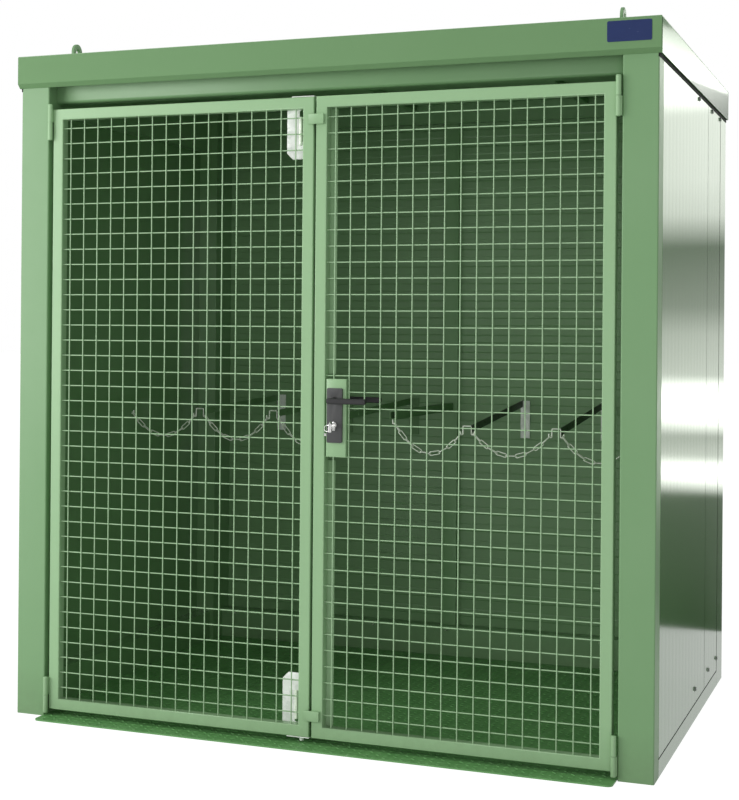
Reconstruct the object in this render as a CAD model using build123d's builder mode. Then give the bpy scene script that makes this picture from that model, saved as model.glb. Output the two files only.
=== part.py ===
from build123d import *
import math
import os

# Gas cylinder container: a sheet steel cabin on a steel floor, with two doors of welded mesh.
# Millimetres. +Z is up and the doors face -Y. The origin is the bottom centre of the whole part.

# Cabin
body_width = 2100
body_depth = 1550
roof_height = 2190
roof_sheet = 3
roof_front_overhang = 15
roof_side_overhang = 8
fascia_height = 105
fascia_sheet = 2
fascia_lip = 12
front_post_width = 104
front_post_depth = 80
rear_post_width = 80
rear_post_depth = 155
centre_post_width = 60
centre_post_depth = 30
post_wall = 3

# Base and floor
floor_sheet = 5
threshold_reach = 72
threshold_corner = 18
threshold_side_gap = 2
base_step_height = 54
base_rail_height = 120
base_rail_width = 60
base_wall = 3

# Head of the cabin
lintel_height = 151
lintel_depth = 50
lintel_setback = 50
lintel_round = 12
top_rail_height = 167
top_rail_width = 40
rear_top_rail_height = 75
rail_wall = 3
roof_rib_width = 30
roof_rib_height = 22
roof_rib_places = (-157, 527)

# Ribbed wall sheets
wall_sheet = 2
rib_rise = 2
side_rib_pitch = 70
rear_rib_pitch = 68
rib_flat = 34
rib_slope = 5
rib_margin = 20

# Door leaves
leaf_side_gap = 17
leaf_head_gap = 25
leaf_bottom = 25
leaf_tube = 36
leaf_wall = 2
meeting_gap = 8

# Welded mesh
mesh_pitch = 50
mesh_wire = 4
mesh_setback = 11
mesh_rise = 4

# Weld-on barrel hinges
barrel_radius = 8
barrel_length = 60
barrel_gap = 0.5
barrel_dome = 3
pin_radius = 4.5
pin_length = 40
pin_clearance = 0.1
pin_end_clearance = 5
hinge_standoff = 9
hinge_post_gap = 10
hinge_plate = 4
hinge_plate_reach = 20
hinge_head_drop = 43
lower_hinge_centre = 72

# Stops, rebate strip and bolts at the meeting stiles
moving_clearance = 5
tab_width = 50
tab_height = 32
tab_sheet = 5
tab_overlap = 14
tab_head_drop = 71
lower_tab_centre = 94
strip_sheet = 4
strip_reach = 57
strip_seat = 22
strip_notch_margin = 14
strip_notch_edge = 33
bolt_plate_sheet = 3
bolt_plate_width = 80
bolt_plate_height = 190
bolt_plate_chamfer = 20
bolt_slot_width = 25
bolt_slot_height = 98
bolt_slot_round = 6
bolt_seat_gap = 1
bolt_cap_width = 75
bolt_cap_reach = 34
bolt_rod_radius = 7
bolt_rod_drop = 12

# Lock
lock_width = 70
lock_height = 240
lock_drop = 174
handle_plate_width = 50
handle_plate_height = 168
handle_plate_sheet = 9
handle_plate_round = 5
handle_plate_drop = 46
spindle_height = 1071
spindle_radius = 6
spindle_clearance = 0.1
lever_neck = 52
lever_hub_radius = 10
lever_thickness = 13
lever_height = 19
lever_length = 153
lever_gap = 1
lever_round = 4
cylinder_drop = 74
cylinder_radius = 9
cylinder_reach = 5
key_bow = 24
key_sheet = 3
key_neck = 10
key_neck_reach = 12
key_hole_radius = 3
key_hole_shift = 6

# Cylinder racks and chains; each arm's place is a share of the body's width from the middle
arm_shares = (-0.362, -0.2205, -0.0867, 0.129, 0.2786, 0.419)
left_arm_count = 3
left_foot_height = 962
right_foot_height = 928
arm_rear_height = 1016
arm_reach = 748
arm_sheet = 5
arm_height = 24
arm_hole_radius = 4.5
arm_hole_pitch = 90
arm_hole_count = 4
bow_width = 35
bow_height = 30
bow_wire = 5
bracket_width = 36
bracket_shift = 12
bracket_bottom = 870
bracket_sheet = 5
rail_height = 30
rail_width = 26
rail_top = 1001
rail_offset = 0
hook_gap = 6
hook_wire = 5
hook_tip = 10
wall_hook_height = 966
rail_hook_height = 958
link_length = 44
link_width = 16
link_wire = 3.8
link_corner = 4.5
link_play = 1.2
link_seat = 0.3
full_span_links = 9
wall_span_links = 5
least_slack = 1.05
curve_steps = 200
bisection_steps = 30

# Lifting lugs
lug_length = 58
lug_height = 59
lug_sheet = 10
lug_inset = 129
lug_setback = 138
lug_hole_radius = 11

# Planes that the pieces share
front_edge_y = -(threshold_reach + body_depth + roof_side_overhang) / 2
face_y = front_edge_y + threshold_reach
rear_y = face_y + body_depth
side_x = body_width / 2
post_inner_x = side_x - front_post_width
front_post_rear_y = face_y + front_post_depth
rear_post_front_y = rear_y - rear_post_depth
rear_post_inner_x = side_x - rear_post_width
sheet_zone = wall_sheet + rib_rise
wall_inner_x = side_x - sheet_zone
wall_inner_y = rear_y - sheet_zone
under_roof_z = roof_height - roof_sheet
lintel_bottom = under_roof_z - lintel_height
lintel_front_y = face_y + lintel_setback
top_rail_bottom = under_roof_z - top_rail_height
rear_top_rail_bottom = under_roof_z - rear_top_rail_height
fascia_bottom = roof_height - fascia_height
roof_front_y = face_y - roof_front_overhang
roof_rear_y = rear_y + roof_side_overhang
roof_half_width = side_x + roof_side_overhang
leaf_inner_x = meeting_gap / 2
leaf_outer_x = post_inner_x - leaf_side_gap
leaf_top = lintel_bottom - leaf_head_gap
leaf_width = leaf_outer_x - leaf_inner_x
leaf_height = leaf_top - leaf_bottom
leaf_rear_y = face_y + leaf_tube
leaf_centre_x = leaf_inner_x + leaf_width / 2
leaf_centre_z = leaf_bottom + leaf_height / 2
mesh_y = face_y + mesh_setback
hinge_x = post_inner_x - hinge_post_gap
hinge_y = face_y - hinge_standoff
lock_centre_x = leaf_inner_x + leaf_tube + lock_width / 2
lock_bottom = spindle_height - lock_drop
handle_plate_centre = spindle_height - handle_plate_drop
cylinder_height = spindle_height - cylinder_drop

os.makedirs("parts", exist_ok=True)


def save(piece, name):
    """Label a finished piece and write it to the parts folder."""
    piece.part.label = name
    export_step(piece.part, f"parts/{name}.step")


def block(low, high, mode=Mode.ADD):
    """Add a block between two corners to the part that is being built."""
    size = [high[i] - low[i] for i in range(3)]
    centre = [(high[i] + low[i]) / 2 for i in range(3)]
    with Locations(tuple(centre)):
        Box(*size, mode=mode)


def hollow_tube(low, high, wall, axis):
    """Build a rectangular tube between two corners, open along one axis."""
    inner_low = [low[i] + (0 if i == axis else wall) for i in range(3)]
    inner_high = [high[i] - (0 if i == axis else wall) for i in range(3)]
    with BuildPart() as tube:
        block(low, high)
        block(inner_low, inner_high, Mode.SUBTRACT)
    return tube


def mirrored(piece):
    """Build the left-hand copy of a right-hand piece."""
    with BuildPart() as copy:
        add(piece.part)
        mirror(about=Plane.YZ, mode=Mode.REPLACE)
    return copy


def with_mirror_image(piece):
    """Build a right-hand piece together with its left-hand copy."""
    with BuildPart() as pair:
        add(piece.part)
        mirror(about=Plane.YZ)
    return pair


def ribbed_outline(length, pitch):
    """Points of a ribbed sheet's section: along the sheet, and out of its plane."""
    count = int((length - 2 * rib_margin) / pitch)
    start = (length - count * pitch) / 2
    outer = [(0, wall_sheet)]
    for i in range(count):
        middle = start + (i + 0.5) * pitch
        outer.append((middle - rib_flat / 2 - rib_slope, wall_sheet))
        outer.append((middle - rib_flat / 2, wall_sheet + rib_rise))
        outer.append((middle + rib_flat / 2, wall_sheet + rib_rise))
        outer.append((middle + rib_flat / 2 + rib_slope, wall_sheet))
    outer.append((length, wall_sheet))
    inner = [(along, out - wall_sheet) for along, out in reversed(outer)]
    return outer + inner


def cut_corner_outline(length, width, corner):
    """Points of a rectangle with its corners cut off."""
    return [
        (length / 2 - corner, -width / 2),
        (length / 2, -width / 2 + corner),
        (length / 2, width / 2 - corner),
        (length / 2 - corner, width / 2),
        (-length / 2 + corner, width / 2),
        (-length / 2, width / 2 - corner),
        (-length / 2, -width / 2 + corner),
        (-length / 2 + corner, -width / 2),
    ]


# Floor plate of tread sheet, which runs out between the front posts as the threshold
tongue_half_width = post_inner_x - threshold_side_gap
floor_half_width = wall_inner_x - base_rail_width
floor_rear_y = wall_inner_y - base_rail_width
with BuildPart() as floor_plate:
    with BuildSketch():
        with BuildLine():
            Polyline(
                (-tongue_half_width, front_edge_y),
                (tongue_half_width, front_edge_y),
                (tongue_half_width, front_post_rear_y),
                (floor_half_width, front_post_rear_y),
                (floor_half_width, rear_post_front_y),
                (rear_post_inner_x, rear_post_front_y),
                (rear_post_inner_x, floor_rear_y),
                (-rear_post_inner_x, floor_rear_y),
                (-rear_post_inner_x, rear_post_front_y),
                (-floor_half_width, rear_post_front_y),
                (-floor_half_width, front_post_rear_y),
                (-tongue_half_width, front_post_rear_y),
                close=True,
            )
        make_face()
    extrude(amount=floor_sheet)
    fillet(floor_plate.edges().filter_by(Axis.Z).group_by(Axis.Y)[0], threshold_corner)
save(floor_plate, "floor_plate")

# Base rails: a hollow section, stepped back above the visible band by the wall sheet
rail_inner_x = wall_inner_x - base_rail_width
with BuildPart() as base_rail_right:
    with BuildSketch(Plane.XZ.offset(-front_post_rear_y)):
        with BuildLine():
            Polyline(
                (rail_inner_x, 0),
                (side_x, 0),
                (side_x, base_step_height),
                (wall_inner_x, base_step_height),
                (wall_inner_x, base_rail_height),
                (rail_inner_x, base_rail_height),
                close=True,
            )
        make_face()
        offset(amount=-base_wall, mode=Mode.SUBTRACT)
    extrude(amount=-(rear_post_front_y - front_post_rear_y))
save(with_mirror_image(base_rail_right), "base_rails_side")

rail_inner_y = wall_inner_y - base_rail_width
with BuildPart() as base_rail_rear:
    with BuildSketch(Plane.YZ.offset(-rear_post_inner_x)):
        with BuildLine():
            Polyline(
                (rail_inner_y, 0),
                (rear_y, 0),
                (rear_y, base_step_height),
                (wall_inner_y, base_step_height),
                (wall_inner_y, base_rail_height),
                (rail_inner_y, base_rail_height),
                close=True,
            )
        make_face()
        offset(amount=-base_wall, mode=Mode.SUBTRACT)
    extrude(amount=2 * rear_post_inner_x)
save(base_rail_rear, "base_rail_rear")

# Corner posts and the post in the middle of the rear wall
front_post_right = hollow_tube(
    (post_inner_x, face_y, 0), (side_x, front_post_rear_y, under_roof_z), post_wall, 2
)
save(front_post_right, "front_post_right")
save(mirrored(front_post_right), "front_post_left")
rear_post_right = hollow_tube(
    (rear_post_inner_x, rear_post_front_y, 0), (side_x, rear_y, under_roof_z), post_wall, 2
)
save(rear_post_right, "rear_post_right")
save(mirrored(rear_post_right), "rear_post_left")
centre_post_front_y = wall_inner_y - centre_post_depth
rear_post_centre = hollow_tube(
    (-centre_post_width / 2, centre_post_front_y, base_rail_height),
    (centre_post_width / 2, wall_inner_y, rear_top_rail_bottom),
    rail_wall,
    2,
)
save(rear_post_centre, "rear_post_centre")

# Lintel over the doors, with a rounded lower edge
with BuildPart() as lintel:
    with BuildSketch(Plane.YZ.offset(-post_inner_x)) as lintel_section:
        with Locations((lintel_front_y + lintel_depth / 2, (lintel_bottom + under_roof_z) / 2)):
            Rectangle(lintel_depth, under_roof_z - lintel_bottom)
        fillet(lintel_section.vertices().group_by(Axis.Y)[0].sort_by(Axis.X)[0], lintel_round)
        offset(amount=-rail_wall, mode=Mode.SUBTRACT)
    extrude(amount=2 * post_inner_x)
save(lintel, "lintel")

# Rails at the head of the side walls and the rear wall
top_rail_right = hollow_tube(
    (wall_inner_x - top_rail_width, front_post_rear_y, top_rail_bottom),
    (wall_inner_x, rear_post_front_y, under_roof_z),
    rail_wall,
    1,
)
save(with_mirror_image(top_rail_right), "top_rails_side")
top_rail_rear = hollow_tube(
    (-rear_post_inner_x, wall_inner_y - top_rail_width, rear_top_rail_bottom),
    (rear_post_inner_x, wall_inner_y, under_roof_z),
    rail_wall,
    0,
)
save(top_rail_rear, "top_rail_rear")

# Side walls: upright ribs; rear wall: level ribs
side_sheet_length = rear_post_front_y - front_post_rear_y
with BuildPart() as side_wall_right:
    with BuildSketch(Plane.XY.offset(base_step_height)):
        with BuildLine():
            Polyline(
                *[
                    (wall_inner_x + out, front_post_rear_y + along)
                    for along, out in ribbed_outline(side_sheet_length, side_rib_pitch)
                ],
                close=True,
            )
        make_face()
    extrude(amount=under_roof_z - base_step_height)
save(side_wall_right, "side_wall_right")
save(mirrored(side_wall_right), "side_wall_left")

with BuildPart() as rear_wall:
    with BuildSketch(Plane.YZ.offset(-rear_post_inner_x)):
        with BuildLine():
            Polyline(
                *[
                    (wall_inner_y + out, base_step_height + along)
                    for along, out in ribbed_outline(under_roof_z - base_step_height, rear_rib_pitch)
                ],
                close=True,
            )
        make_face()
    extrude(amount=2 * rear_post_inner_x)
save(rear_wall, "rear_wall")

# Roof: a flat panel with a folded fascia on each edge, and ribs under the panel
with BuildPart() as roof_panel:
    block(
        (-roof_half_width, roof_front_y, under_roof_z),
        (roof_half_width, roof_rear_y, roof_height),
    )
save(roof_panel, "roof_panel")

with BuildPart() as fascia_front:
    with BuildSketch(Plane.YZ.offset(-roof_half_width)):
        with BuildLine():
            Polyline(
                (roof_front_y, under_roof_z),
                (roof_front_y, fascia_bottom + fascia_lip),
                (roof_front_y + fascia_sheet, fascia_bottom),
                (face_y, fascia_bottom),
                (face_y, fascia_bottom + fascia_sheet),
                (roof_front_y + 2 * fascia_sheet, fascia_bottom + fascia_sheet),
                (roof_front_y + fascia_sheet, fascia_bottom + fascia_lip),
                (roof_front_y + fascia_sheet, under_roof_z),
                close=True,
            )
        make_face()
    extrude(amount=2 * roof_half_width)
save(fascia_front, "fascia_front")

with BuildPart() as fascia_rear:
    block(
        (-roof_half_width, roof_rear_y - fascia_sheet, fascia_bottom),
        (roof_half_width, roof_rear_y, under_roof_z),
    )
    block(
        (-roof_half_width, rear_y, fascia_bottom),
        (roof_half_width, roof_rear_y, fascia_bottom + fascia_sheet),
    )
save(fascia_rear, "fascia_rear")

side_fascia_front_y = roof_front_y + roof_front_overhang
with BuildPart() as fascia_right:
    block(
        (roof_half_width - fascia_sheet, side_fascia_front_y, fascia_bottom),
        (roof_half_width, rear_y, under_roof_z),
    )
save(with_mirror_image(fascia_right), "fascias_side")

with BuildPart() as roof_ribs:
    for place in roof_rib_places:
        block(
            (place - roof_rib_width / 2, lintel_front_y + lintel_depth, under_roof_z - roof_rib_height),
            (place + roof_rib_width / 2, wall_inner_y - top_rail_width, under_roof_z),
        )
save(roof_ribs, "roof_ribs")

# Lifting lugs: upright plates with a round top and a hole, welded on the roof
lug_place = side_x - lug_inset
lug_centres_y = (face_y + lug_setback, rear_y - lug_setback)
with BuildPart() as lifting_lugs:
    for side in (-1, 1):
        for centre_y in lug_centres_y:
            with BuildSketch(Plane.YZ.offset(side * lug_place - lug_sheet / 2)):
                with Locations((centre_y, roof_height + (lug_height - lug_length / 2) / 2)):
                    Rectangle(lug_length, lug_height - lug_length / 2)
                with Locations((centre_y, roof_height + lug_height - lug_length / 2)):
                    Circle(lug_length / 2)
                    Circle(lug_hole_radius, mode=Mode.SUBTRACT)
            extrude(amount=lug_sheet)
save(lifting_lugs, "lifting_lugs")

# Hinges: the lower barrel is on the post and holds the pin, the upper one turns on the leaf
hinge_centres = (lower_hinge_centre, leaf_top - hinge_head_drop)
with BuildPart() as hinge_sockets_right:
    for centre in hinge_centres:
        barrel_low = centre - barrel_length
        with Locations((hinge_x, hinge_y, barrel_low + (barrel_length - barrel_gap / 2) / 2)):
            Cylinder(barrel_radius, barrel_length - barrel_gap / 2)
        block(
            (post_inner_x - hinge_plate, hinge_y, barrel_low + barrel_dome),
            (post_inner_x, face_y + hinge_plate_reach, centre - barrel_gap / 2),
        )
        with Locations((hinge_x, hinge_y, centre)):
            Cylinder(pin_radius, 2 * pin_length)
save(with_mirror_image(hinge_sockets_right), "hinge_sockets")

with BuildPart() as hinge_barrels_right:
    for centre in hinge_centres:
        barrel_low = centre + barrel_gap / 2
        with Locations((hinge_x, hinge_y, (barrel_low + centre + barrel_length) / 2)):
            Cylinder(barrel_radius, barrel_length - barrel_gap / 2)
        block(
            (leaf_outer_x, hinge_y, barrel_low),
            (leaf_outer_x + hinge_plate, face_y + hinge_plate_reach, min(leaf_top, centre + barrel_length)),
        )
        with Locations((hinge_x, hinge_y, (barrel_low + centre + pin_length + pin_end_clearance) / 2)):
            Cylinder(
                pin_radius + pin_clearance,
                pin_length + pin_end_clearance - barrel_gap / 2,
                mode=Mode.SUBTRACT,
            )
save(hinge_barrels_right, "hinge_barrels_right")
save(mirrored(hinge_barrels_right), "hinge_barrels_left")

# Leaf frames: stiles at full height, rails between them
hinge_stile_right = hollow_tube(
    (leaf_outer_x - leaf_tube, face_y, leaf_bottom), (leaf_outer_x, leaf_rear_y, leaf_top), leaf_wall, 2
)
save(hinge_stile_right, "right_hinge_stile")
save(mirrored(hinge_stile_right), "left_hinge_stile")
meeting_stile_right = hollow_tube(
    (leaf_inner_x, face_y, leaf_bottom), (leaf_inner_x + leaf_tube, leaf_rear_y, leaf_top), leaf_wall, 2
)
save(meeting_stile_right, "right_meeting_stile")
save(mirrored(meeting_stile_right), "left_meeting_stile")
opening_low_x = leaf_inner_x + leaf_tube
opening_high_x = leaf_outer_x - leaf_tube
opening_low_z = leaf_bottom + leaf_tube
opening_high_z = leaf_top - leaf_tube
bottom_rail_right = hollow_tube(
    (opening_low_x, face_y, leaf_bottom), (opening_high_x, leaf_rear_y, opening_low_z), leaf_wall, 0
)
save(bottom_rail_right, "right_bottom_rail")
save(mirrored(bottom_rail_right), "left_bottom_rail")
top_rail_of_leaf = hollow_tube(
    (opening_low_x, face_y, opening_high_z), (opening_high_x, leaf_rear_y, leaf_top), leaf_wall, 0
)
save(top_rail_of_leaf, "right_top_rail")
save(mirrored(top_rail_of_leaf), "left_top_rail")

# Welded mesh: level wires behind upright ones, fused where they cross, in a lower and an upper half
mesh_columns = int((opening_high_x - opening_low_x) / mesh_pitch)
mesh_rows = int((opening_high_z - opening_low_z) / mesh_pitch)
mesh_lower_rows = mesh_rows // 2
first_row_z = leaf_centre_z + mesh_rise - (mesh_rows - 1) * mesh_pitch / 2
first_column_x = leaf_centre_x - (mesh_columns - 1) * mesh_pitch / 2
mesh_split_z = first_row_z + (mesh_lower_rows - 0.5) * mesh_pitch
lock_low_x = leaf_inner_x + leaf_tube
lock_high_x = lock_low_x + lock_width
lock_top = lock_bottom + lock_height


def mesh_half(low_z, high_z, first_row, row_count):
    """Build one half of a leaf's mesh between two heights."""
    with BuildPart() as mesh:
        column_places = [
            (first_column_x + i * mesh_pitch, mesh_y - mesh_wire / 2, (low_z + high_z) / 2)
            for i in range(mesh_columns)
        ]
        with Locations(*column_places):
            Box(mesh_wire, mesh_wire, high_z - low_z)
        row_places = [
            (leaf_centre_x, mesh_y + mesh_wire / 2, first_row_z + (first_row + i) * mesh_pitch)
            for i in range(row_count)
        ]
        with Locations(*row_places):
            Box(opening_high_x - opening_low_x, mesh_wire, mesh_wire)
    return mesh


def without_lock(mesh):
    """Cut the place of the lock box out of a mesh."""
    with BuildPart() as trimmed:
        add(mesh.part)
        block((lock_low_x, face_y, lock_bottom), (lock_high_x, leaf_rear_y, lock_top), Mode.SUBTRACT)
    return trimmed


mesh_lower = mesh_half(opening_low_z, mesh_split_z, 0, mesh_lower_rows)
mesh_upper = mesh_half(mesh_split_z, opening_high_z, mesh_lower_rows, mesh_rows - mesh_lower_rows)
save(mirrored(mesh_lower), "left_mesh_lower")
save(mirrored(mesh_upper), "left_mesh_upper")
save(without_lock(mesh_lower), "right_mesh_lower")
save(without_lock(mesh_upper), "right_mesh_upper")

# Stop tabs: raised plates on the right leaf that lie in front of the left leaf's stile
tab_low_x = -leaf_inner_x - tab_overlap
tab_high_x = tab_low_x + tab_width
with BuildPart() as stop_tabs:
    for centre in (lower_tab_centre, leaf_top - tab_head_drop):
        with BuildSketch(Plane.XY.offset(centre - tab_height / 2)):
            with BuildLine():
                Polyline(
                    (tab_low_x, face_y - moving_clearance - tab_sheet),
                    (tab_high_x, face_y - moving_clearance - tab_sheet),
                    (tab_high_x, face_y),
                    (leaf_inner_x, face_y),
                    (leaf_inner_x, face_y - moving_clearance),
                    (tab_low_x, face_y - moving_clearance),
                    close=True,
                )
            make_face()
        extrude(amount=tab_height)
save(stop_tabs, "stop_tabs")

# Rebate strip: stepped flat bar on the left leaf that closes the gap behind the right leaf's stile
strip_y = leaf_rear_y + moving_clearance
with BuildPart() as rebate_strip:
    with BuildSketch(Plane.XY.offset(leaf_bottom)):
        with BuildLine():
            Polyline(
                (-leaf_inner_x - strip_seat, leaf_rear_y),
                (-leaf_inner_x, leaf_rear_y),
                (-leaf_inner_x, strip_y),
                (leaf_inner_x + strip_reach, strip_y),
                (leaf_inner_x + strip_reach, strip_y + strip_sheet),
                (-leaf_inner_x - strip_seat, strip_y + strip_sheet),
                close=True,
            )
        make_face()
    extrude(amount=leaf_height)
    block(
        (strip_notch_edge, strip_y, lock_bottom - strip_notch_margin),
        (leaf_inner_x + strip_reach, strip_y + strip_sheet, lock_top + strip_notch_margin),
        Mode.SUBTRACT,
    )
save(rebate_strip, "rebate_strip")

# Bolt plates: galvanised plates behind the left leaf's corners, folded over its top and bottom
bolt_high_x = -leaf_inner_x - strip_seat - bolt_seat_gap
bolt_low_x = bolt_high_x - bolt_plate_width
bolt_plate_rear_y = leaf_rear_y + bolt_plate_sheet
slot_centre_x = -leaf_inner_x - leaf_tube - bolt_slot_width / 2
rod_centre = (bolt_high_x - bolt_rod_radius, face_y + leaf_tube / 2)


def bolt_plate(up):
    """Build the bolt plate at the leaf's top (up = 1) or bottom (up = -1)."""
    edge = leaf_top if up == 1 else leaf_bottom
    outer_edge = edge + up * bolt_plate_sheet
    far = edge - up * bolt_plate_height
    with BuildPart() as plate:
        with BuildSketch(Plane.XZ.offset(-bolt_plate_rear_y)):
            with BuildLine():
                Polyline(
                    (bolt_high_x, outer_edge),
                    (bolt_low_x, outer_edge),
                    (bolt_low_x, far + up * bolt_plate_chamfer),
                    (bolt_low_x + bolt_plate_chamfer, far),
                    (bolt_high_x, far),
                    close=True,
                )
            make_face()
            with Locations((slot_centre_x, edge - up * (leaf_tube + bolt_slot_height / 2))):
                RectangleRounded(bolt_slot_width, bolt_slot_height, bolt_slot_round, mode=Mode.SUBTRACT)
        extrude(amount=bolt_plate_sheet)
        block(
            (-leaf_inner_x - bolt_cap_width, leaf_rear_y - bolt_cap_reach, min(edge, outer_edge)),
            (-leaf_inner_x, leaf_rear_y, max(edge, outer_edge)),
        )
        if up == -1:
            with Locations((*rod_centre, outer_edge - bolt_rod_drop / 2)):
                Cylinder(bolt_rod_radius, bolt_rod_drop)
    return plate


save(bolt_plate(1), "bolt_plate_top")
save(bolt_plate(-1), "bolt_plate_bottom")

# Lock box, welded in beside the right leaf's meeting stile and bored for the spindle
with BuildPart() as lock_box:
    block((lock_low_x, face_y, lock_bottom), (lock_high_x, leaf_rear_y, lock_top))
    with Locations(Location((lock_centre_x, face_y + leaf_tube / 2, spindle_height), (90, 0, 0))):
        Cylinder(spindle_radius + spindle_clearance, leaf_tube, mode=Mode.SUBTRACT)
save(lock_box, "lock_box")

with BuildPart() as handle_plates:
    for front_y in (face_y - handle_plate_sheet, leaf_rear_y):
        with BuildSketch(Plane.XZ.offset(-front_y)):
            with Locations((lock_centre_x, handle_plate_centre)):
                RectangleRounded(handle_plate_width, handle_plate_height, handle_plate_round)
            with Locations((lock_centre_x, spindle_height)):
                Circle(spindle_radius + spindle_clearance, mode=Mode.SUBTRACT)
        extrude(amount=-handle_plate_sheet)
save(handle_plates, "handle_plates")

# Profile cylinder with its key
plate_front_y = face_y - handle_plate_sheet
key_bow_y = plate_front_y - cylinder_reach - key_neck_reach - key_bow / 2
with BuildPart() as lock_cylinder:
    with BuildSketch(Plane.XZ.offset(-plate_front_y)):
        with Locations((lock_centre_x, cylinder_height)):
            Circle(cylinder_radius)
        with Locations((lock_centre_x, cylinder_height - cylinder_radius)):
            Rectangle(cylinder_radius, 2 * cylinder_radius)
    extrude(amount=cylinder_reach)
    block(
        (
            lock_centre_x - key_sheet / 2,
            key_bow_y,
            cylinder_height - key_neck / 2,
        ),
        (lock_centre_x + key_sheet / 2, plate_front_y - cylinder_reach, cylinder_height + key_neck / 2),
    )
    with BuildSketch(Plane.YZ.offset(lock_centre_x - key_sheet / 2)):
        with Locations((key_bow_y, cylinder_height)):
            Circle(key_bow / 2)
            with Locations((-key_hole_shift, 0)):
                Circle(key_hole_radius, mode=Mode.SUBTRACT)
    extrude(amount=key_sheet)
save(lock_cylinder, "lock_cylinder")

# Lever: a grip on each side of the leaf, on one spindle
outer_face_y = face_y - handle_plate_sheet - lever_gap
inner_face_y = leaf_rear_y + handle_plate_sheet + lever_gap
with BuildPart() as lever:
    spindle_length = inner_face_y - outer_face_y
    spindle_y = (inner_face_y + outer_face_y) / 2
    with Locations(Location((lock_centre_x, spindle_y, spindle_height), (90, 0, 0))):
        Cylinder(spindle_radius, spindle_length)
    for face, out in ((outer_face_y, -1), (inner_face_y, 1)):
        with Locations(Location((lock_centre_x, face + out * lever_neck / 2, spindle_height), (90, 0, 0))):
            Cylinder(lever_hub_radius, lever_neck)
        with BuildSketch(Plane.YZ.offset(lock_centre_x)):
            with Locations((face + out * (lever_neck - lever_thickness / 2), spindle_height)):
                RectangleRounded(lever_thickness, lever_height, lever_round)
        extrude(amount=lever_length)
save(lever, "lever_handle")


# Racks: an arm for each gap between cylinders, with a bow whose ends carry the chain
def foot_height(index):
    """Height of the hooks on an arm's bow."""
    return left_foot_height if index < left_arm_count else right_foot_height


def add_hook_outline(leg_x, height, side):
    """Add a hook that runs out from a leg's face and turns up; the chain's end link lies in it."""
    stub_length = hook_gap + hook_wire
    with Locations((leg_x + side * stub_length / 2, height - hook_wire / 2)):
        Rectangle(stub_length, hook_wire)
    with Locations((leg_x + side * (hook_gap + hook_wire / 2), height + hook_tip / 2)):
        Rectangle(hook_wire, hook_tip)


arm_places = [share * body_width for share in arm_shares]
hook_y = wall_inner_y - arm_reach
arm_rear_y = wall_inner_y - bracket_sheet
arm_offset = bow_width / 2 - arm_sheet / 2
with BuildPart() as chain_arms:
    for index, place in enumerate(arm_places):
        foot_z = foot_height(index)
        bow_top = foot_z + bow_height
        slope = (arm_rear_height - bow_top) / (arm_rear_y - hook_y - bow_wire)
        with BuildSketch(Plane.YZ.offset(place + arm_offset - arm_sheet / 2)):
            with BuildLine():
                Polyline(
                    (hook_y + bow_wire, bow_top - arm_height),
                    (arm_rear_y, arm_rear_height - arm_height),
                    (arm_rear_y, arm_rear_height),
                    (hook_y + bow_wire, bow_top),
                    close=True,
                )
            make_face()
            for hole in range(arm_hole_count):
                along = (hole + 1) * arm_hole_pitch
                with Locations((hook_y + bow_wire + along, bow_top - arm_height / 2 + slope * along)):
                    RegularPolygon(arm_hole_radius, 6, mode=Mode.SUBTRACT)
        extrude(amount=arm_sheet)
        with BuildSketch(Plane.XZ.offset(-hook_y)):
            with Locations((place, (foot_z - hook_wire + bow_top) / 2)):
                Rectangle(bow_width, bow_height + hook_wire)
            with Locations((place, (foot_z - hook_wire + bow_top - bow_wire) / 2)):
                Rectangle(bow_width - 2 * bow_wire, bow_height + hook_wire - bow_wire, mode=Mode.SUBTRACT)
            for side in (-1, 1):
                add_hook_outline(place + side * bow_width / 2, foot_z, side)
        extrude(amount=-bow_wire)
save(chain_arms, "chain_arms")

with BuildPart() as arm_brackets:
    for place in arm_places:
        bracket_x = place + arm_offset + bracket_shift
        block(
            (bracket_x - bracket_width / 2, wall_inner_y - bracket_sheet, bracket_bottom),
            (bracket_x + bracket_width / 2, wall_inner_y, arm_rear_height),
        )
save(arm_brackets, "arm_brackets")

# Rail in the middle, from the rear post to the front of the racks
rail_low_z = rail_top - rail_height
centre_rail = hollow_tube(
    (rail_offset - rail_width / 2, hook_y, rail_low_z),
    (rail_offset + rail_width / 2, centre_post_front_y, rail_top),
    rail_wall,
    1,
)
save(centre_rail, "centre_rail")

# Hooks on the side walls and under the front of the rail
with BuildPart() as chain_hooks:
    with BuildSketch(Plane.XZ.offset(-hook_y)):
        add_hook_outline(-wall_inner_x, wall_hook_height, 1)
        add_hook_outline(wall_inner_x, right_foot_height, -1)
        with Locations((rail_offset - hook_wire / 2, (rail_hook_height - hook_wire + rail_low_z) / 2)):
            Rectangle(hook_wire, rail_low_z - rail_hook_height + hook_wire)
        add_hook_outline(rail_offset, rail_hook_height, 1)
    extrude(amount=-hook_wire)
save(chain_hooks, "chain_hooks")

# Chain link: an open link of square wire with cut corners
with BuildPart() as chain_link:
    with BuildSketch():
        with BuildLine():
            Polyline(*cut_corner_outline(link_length, link_width, link_corner), close=True)
        make_face()
        hole_length = link_length - 2 * link_wire
        hole_width = link_width - 2 * link_wire
        with BuildLine():
            Polyline(*cut_corner_outline(hole_length, hole_width, link_corner / 2), close=True)
        make_face(mode=Mode.SUBTRACT)
    extrude(amount=link_wire / 2, both=True)


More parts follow.
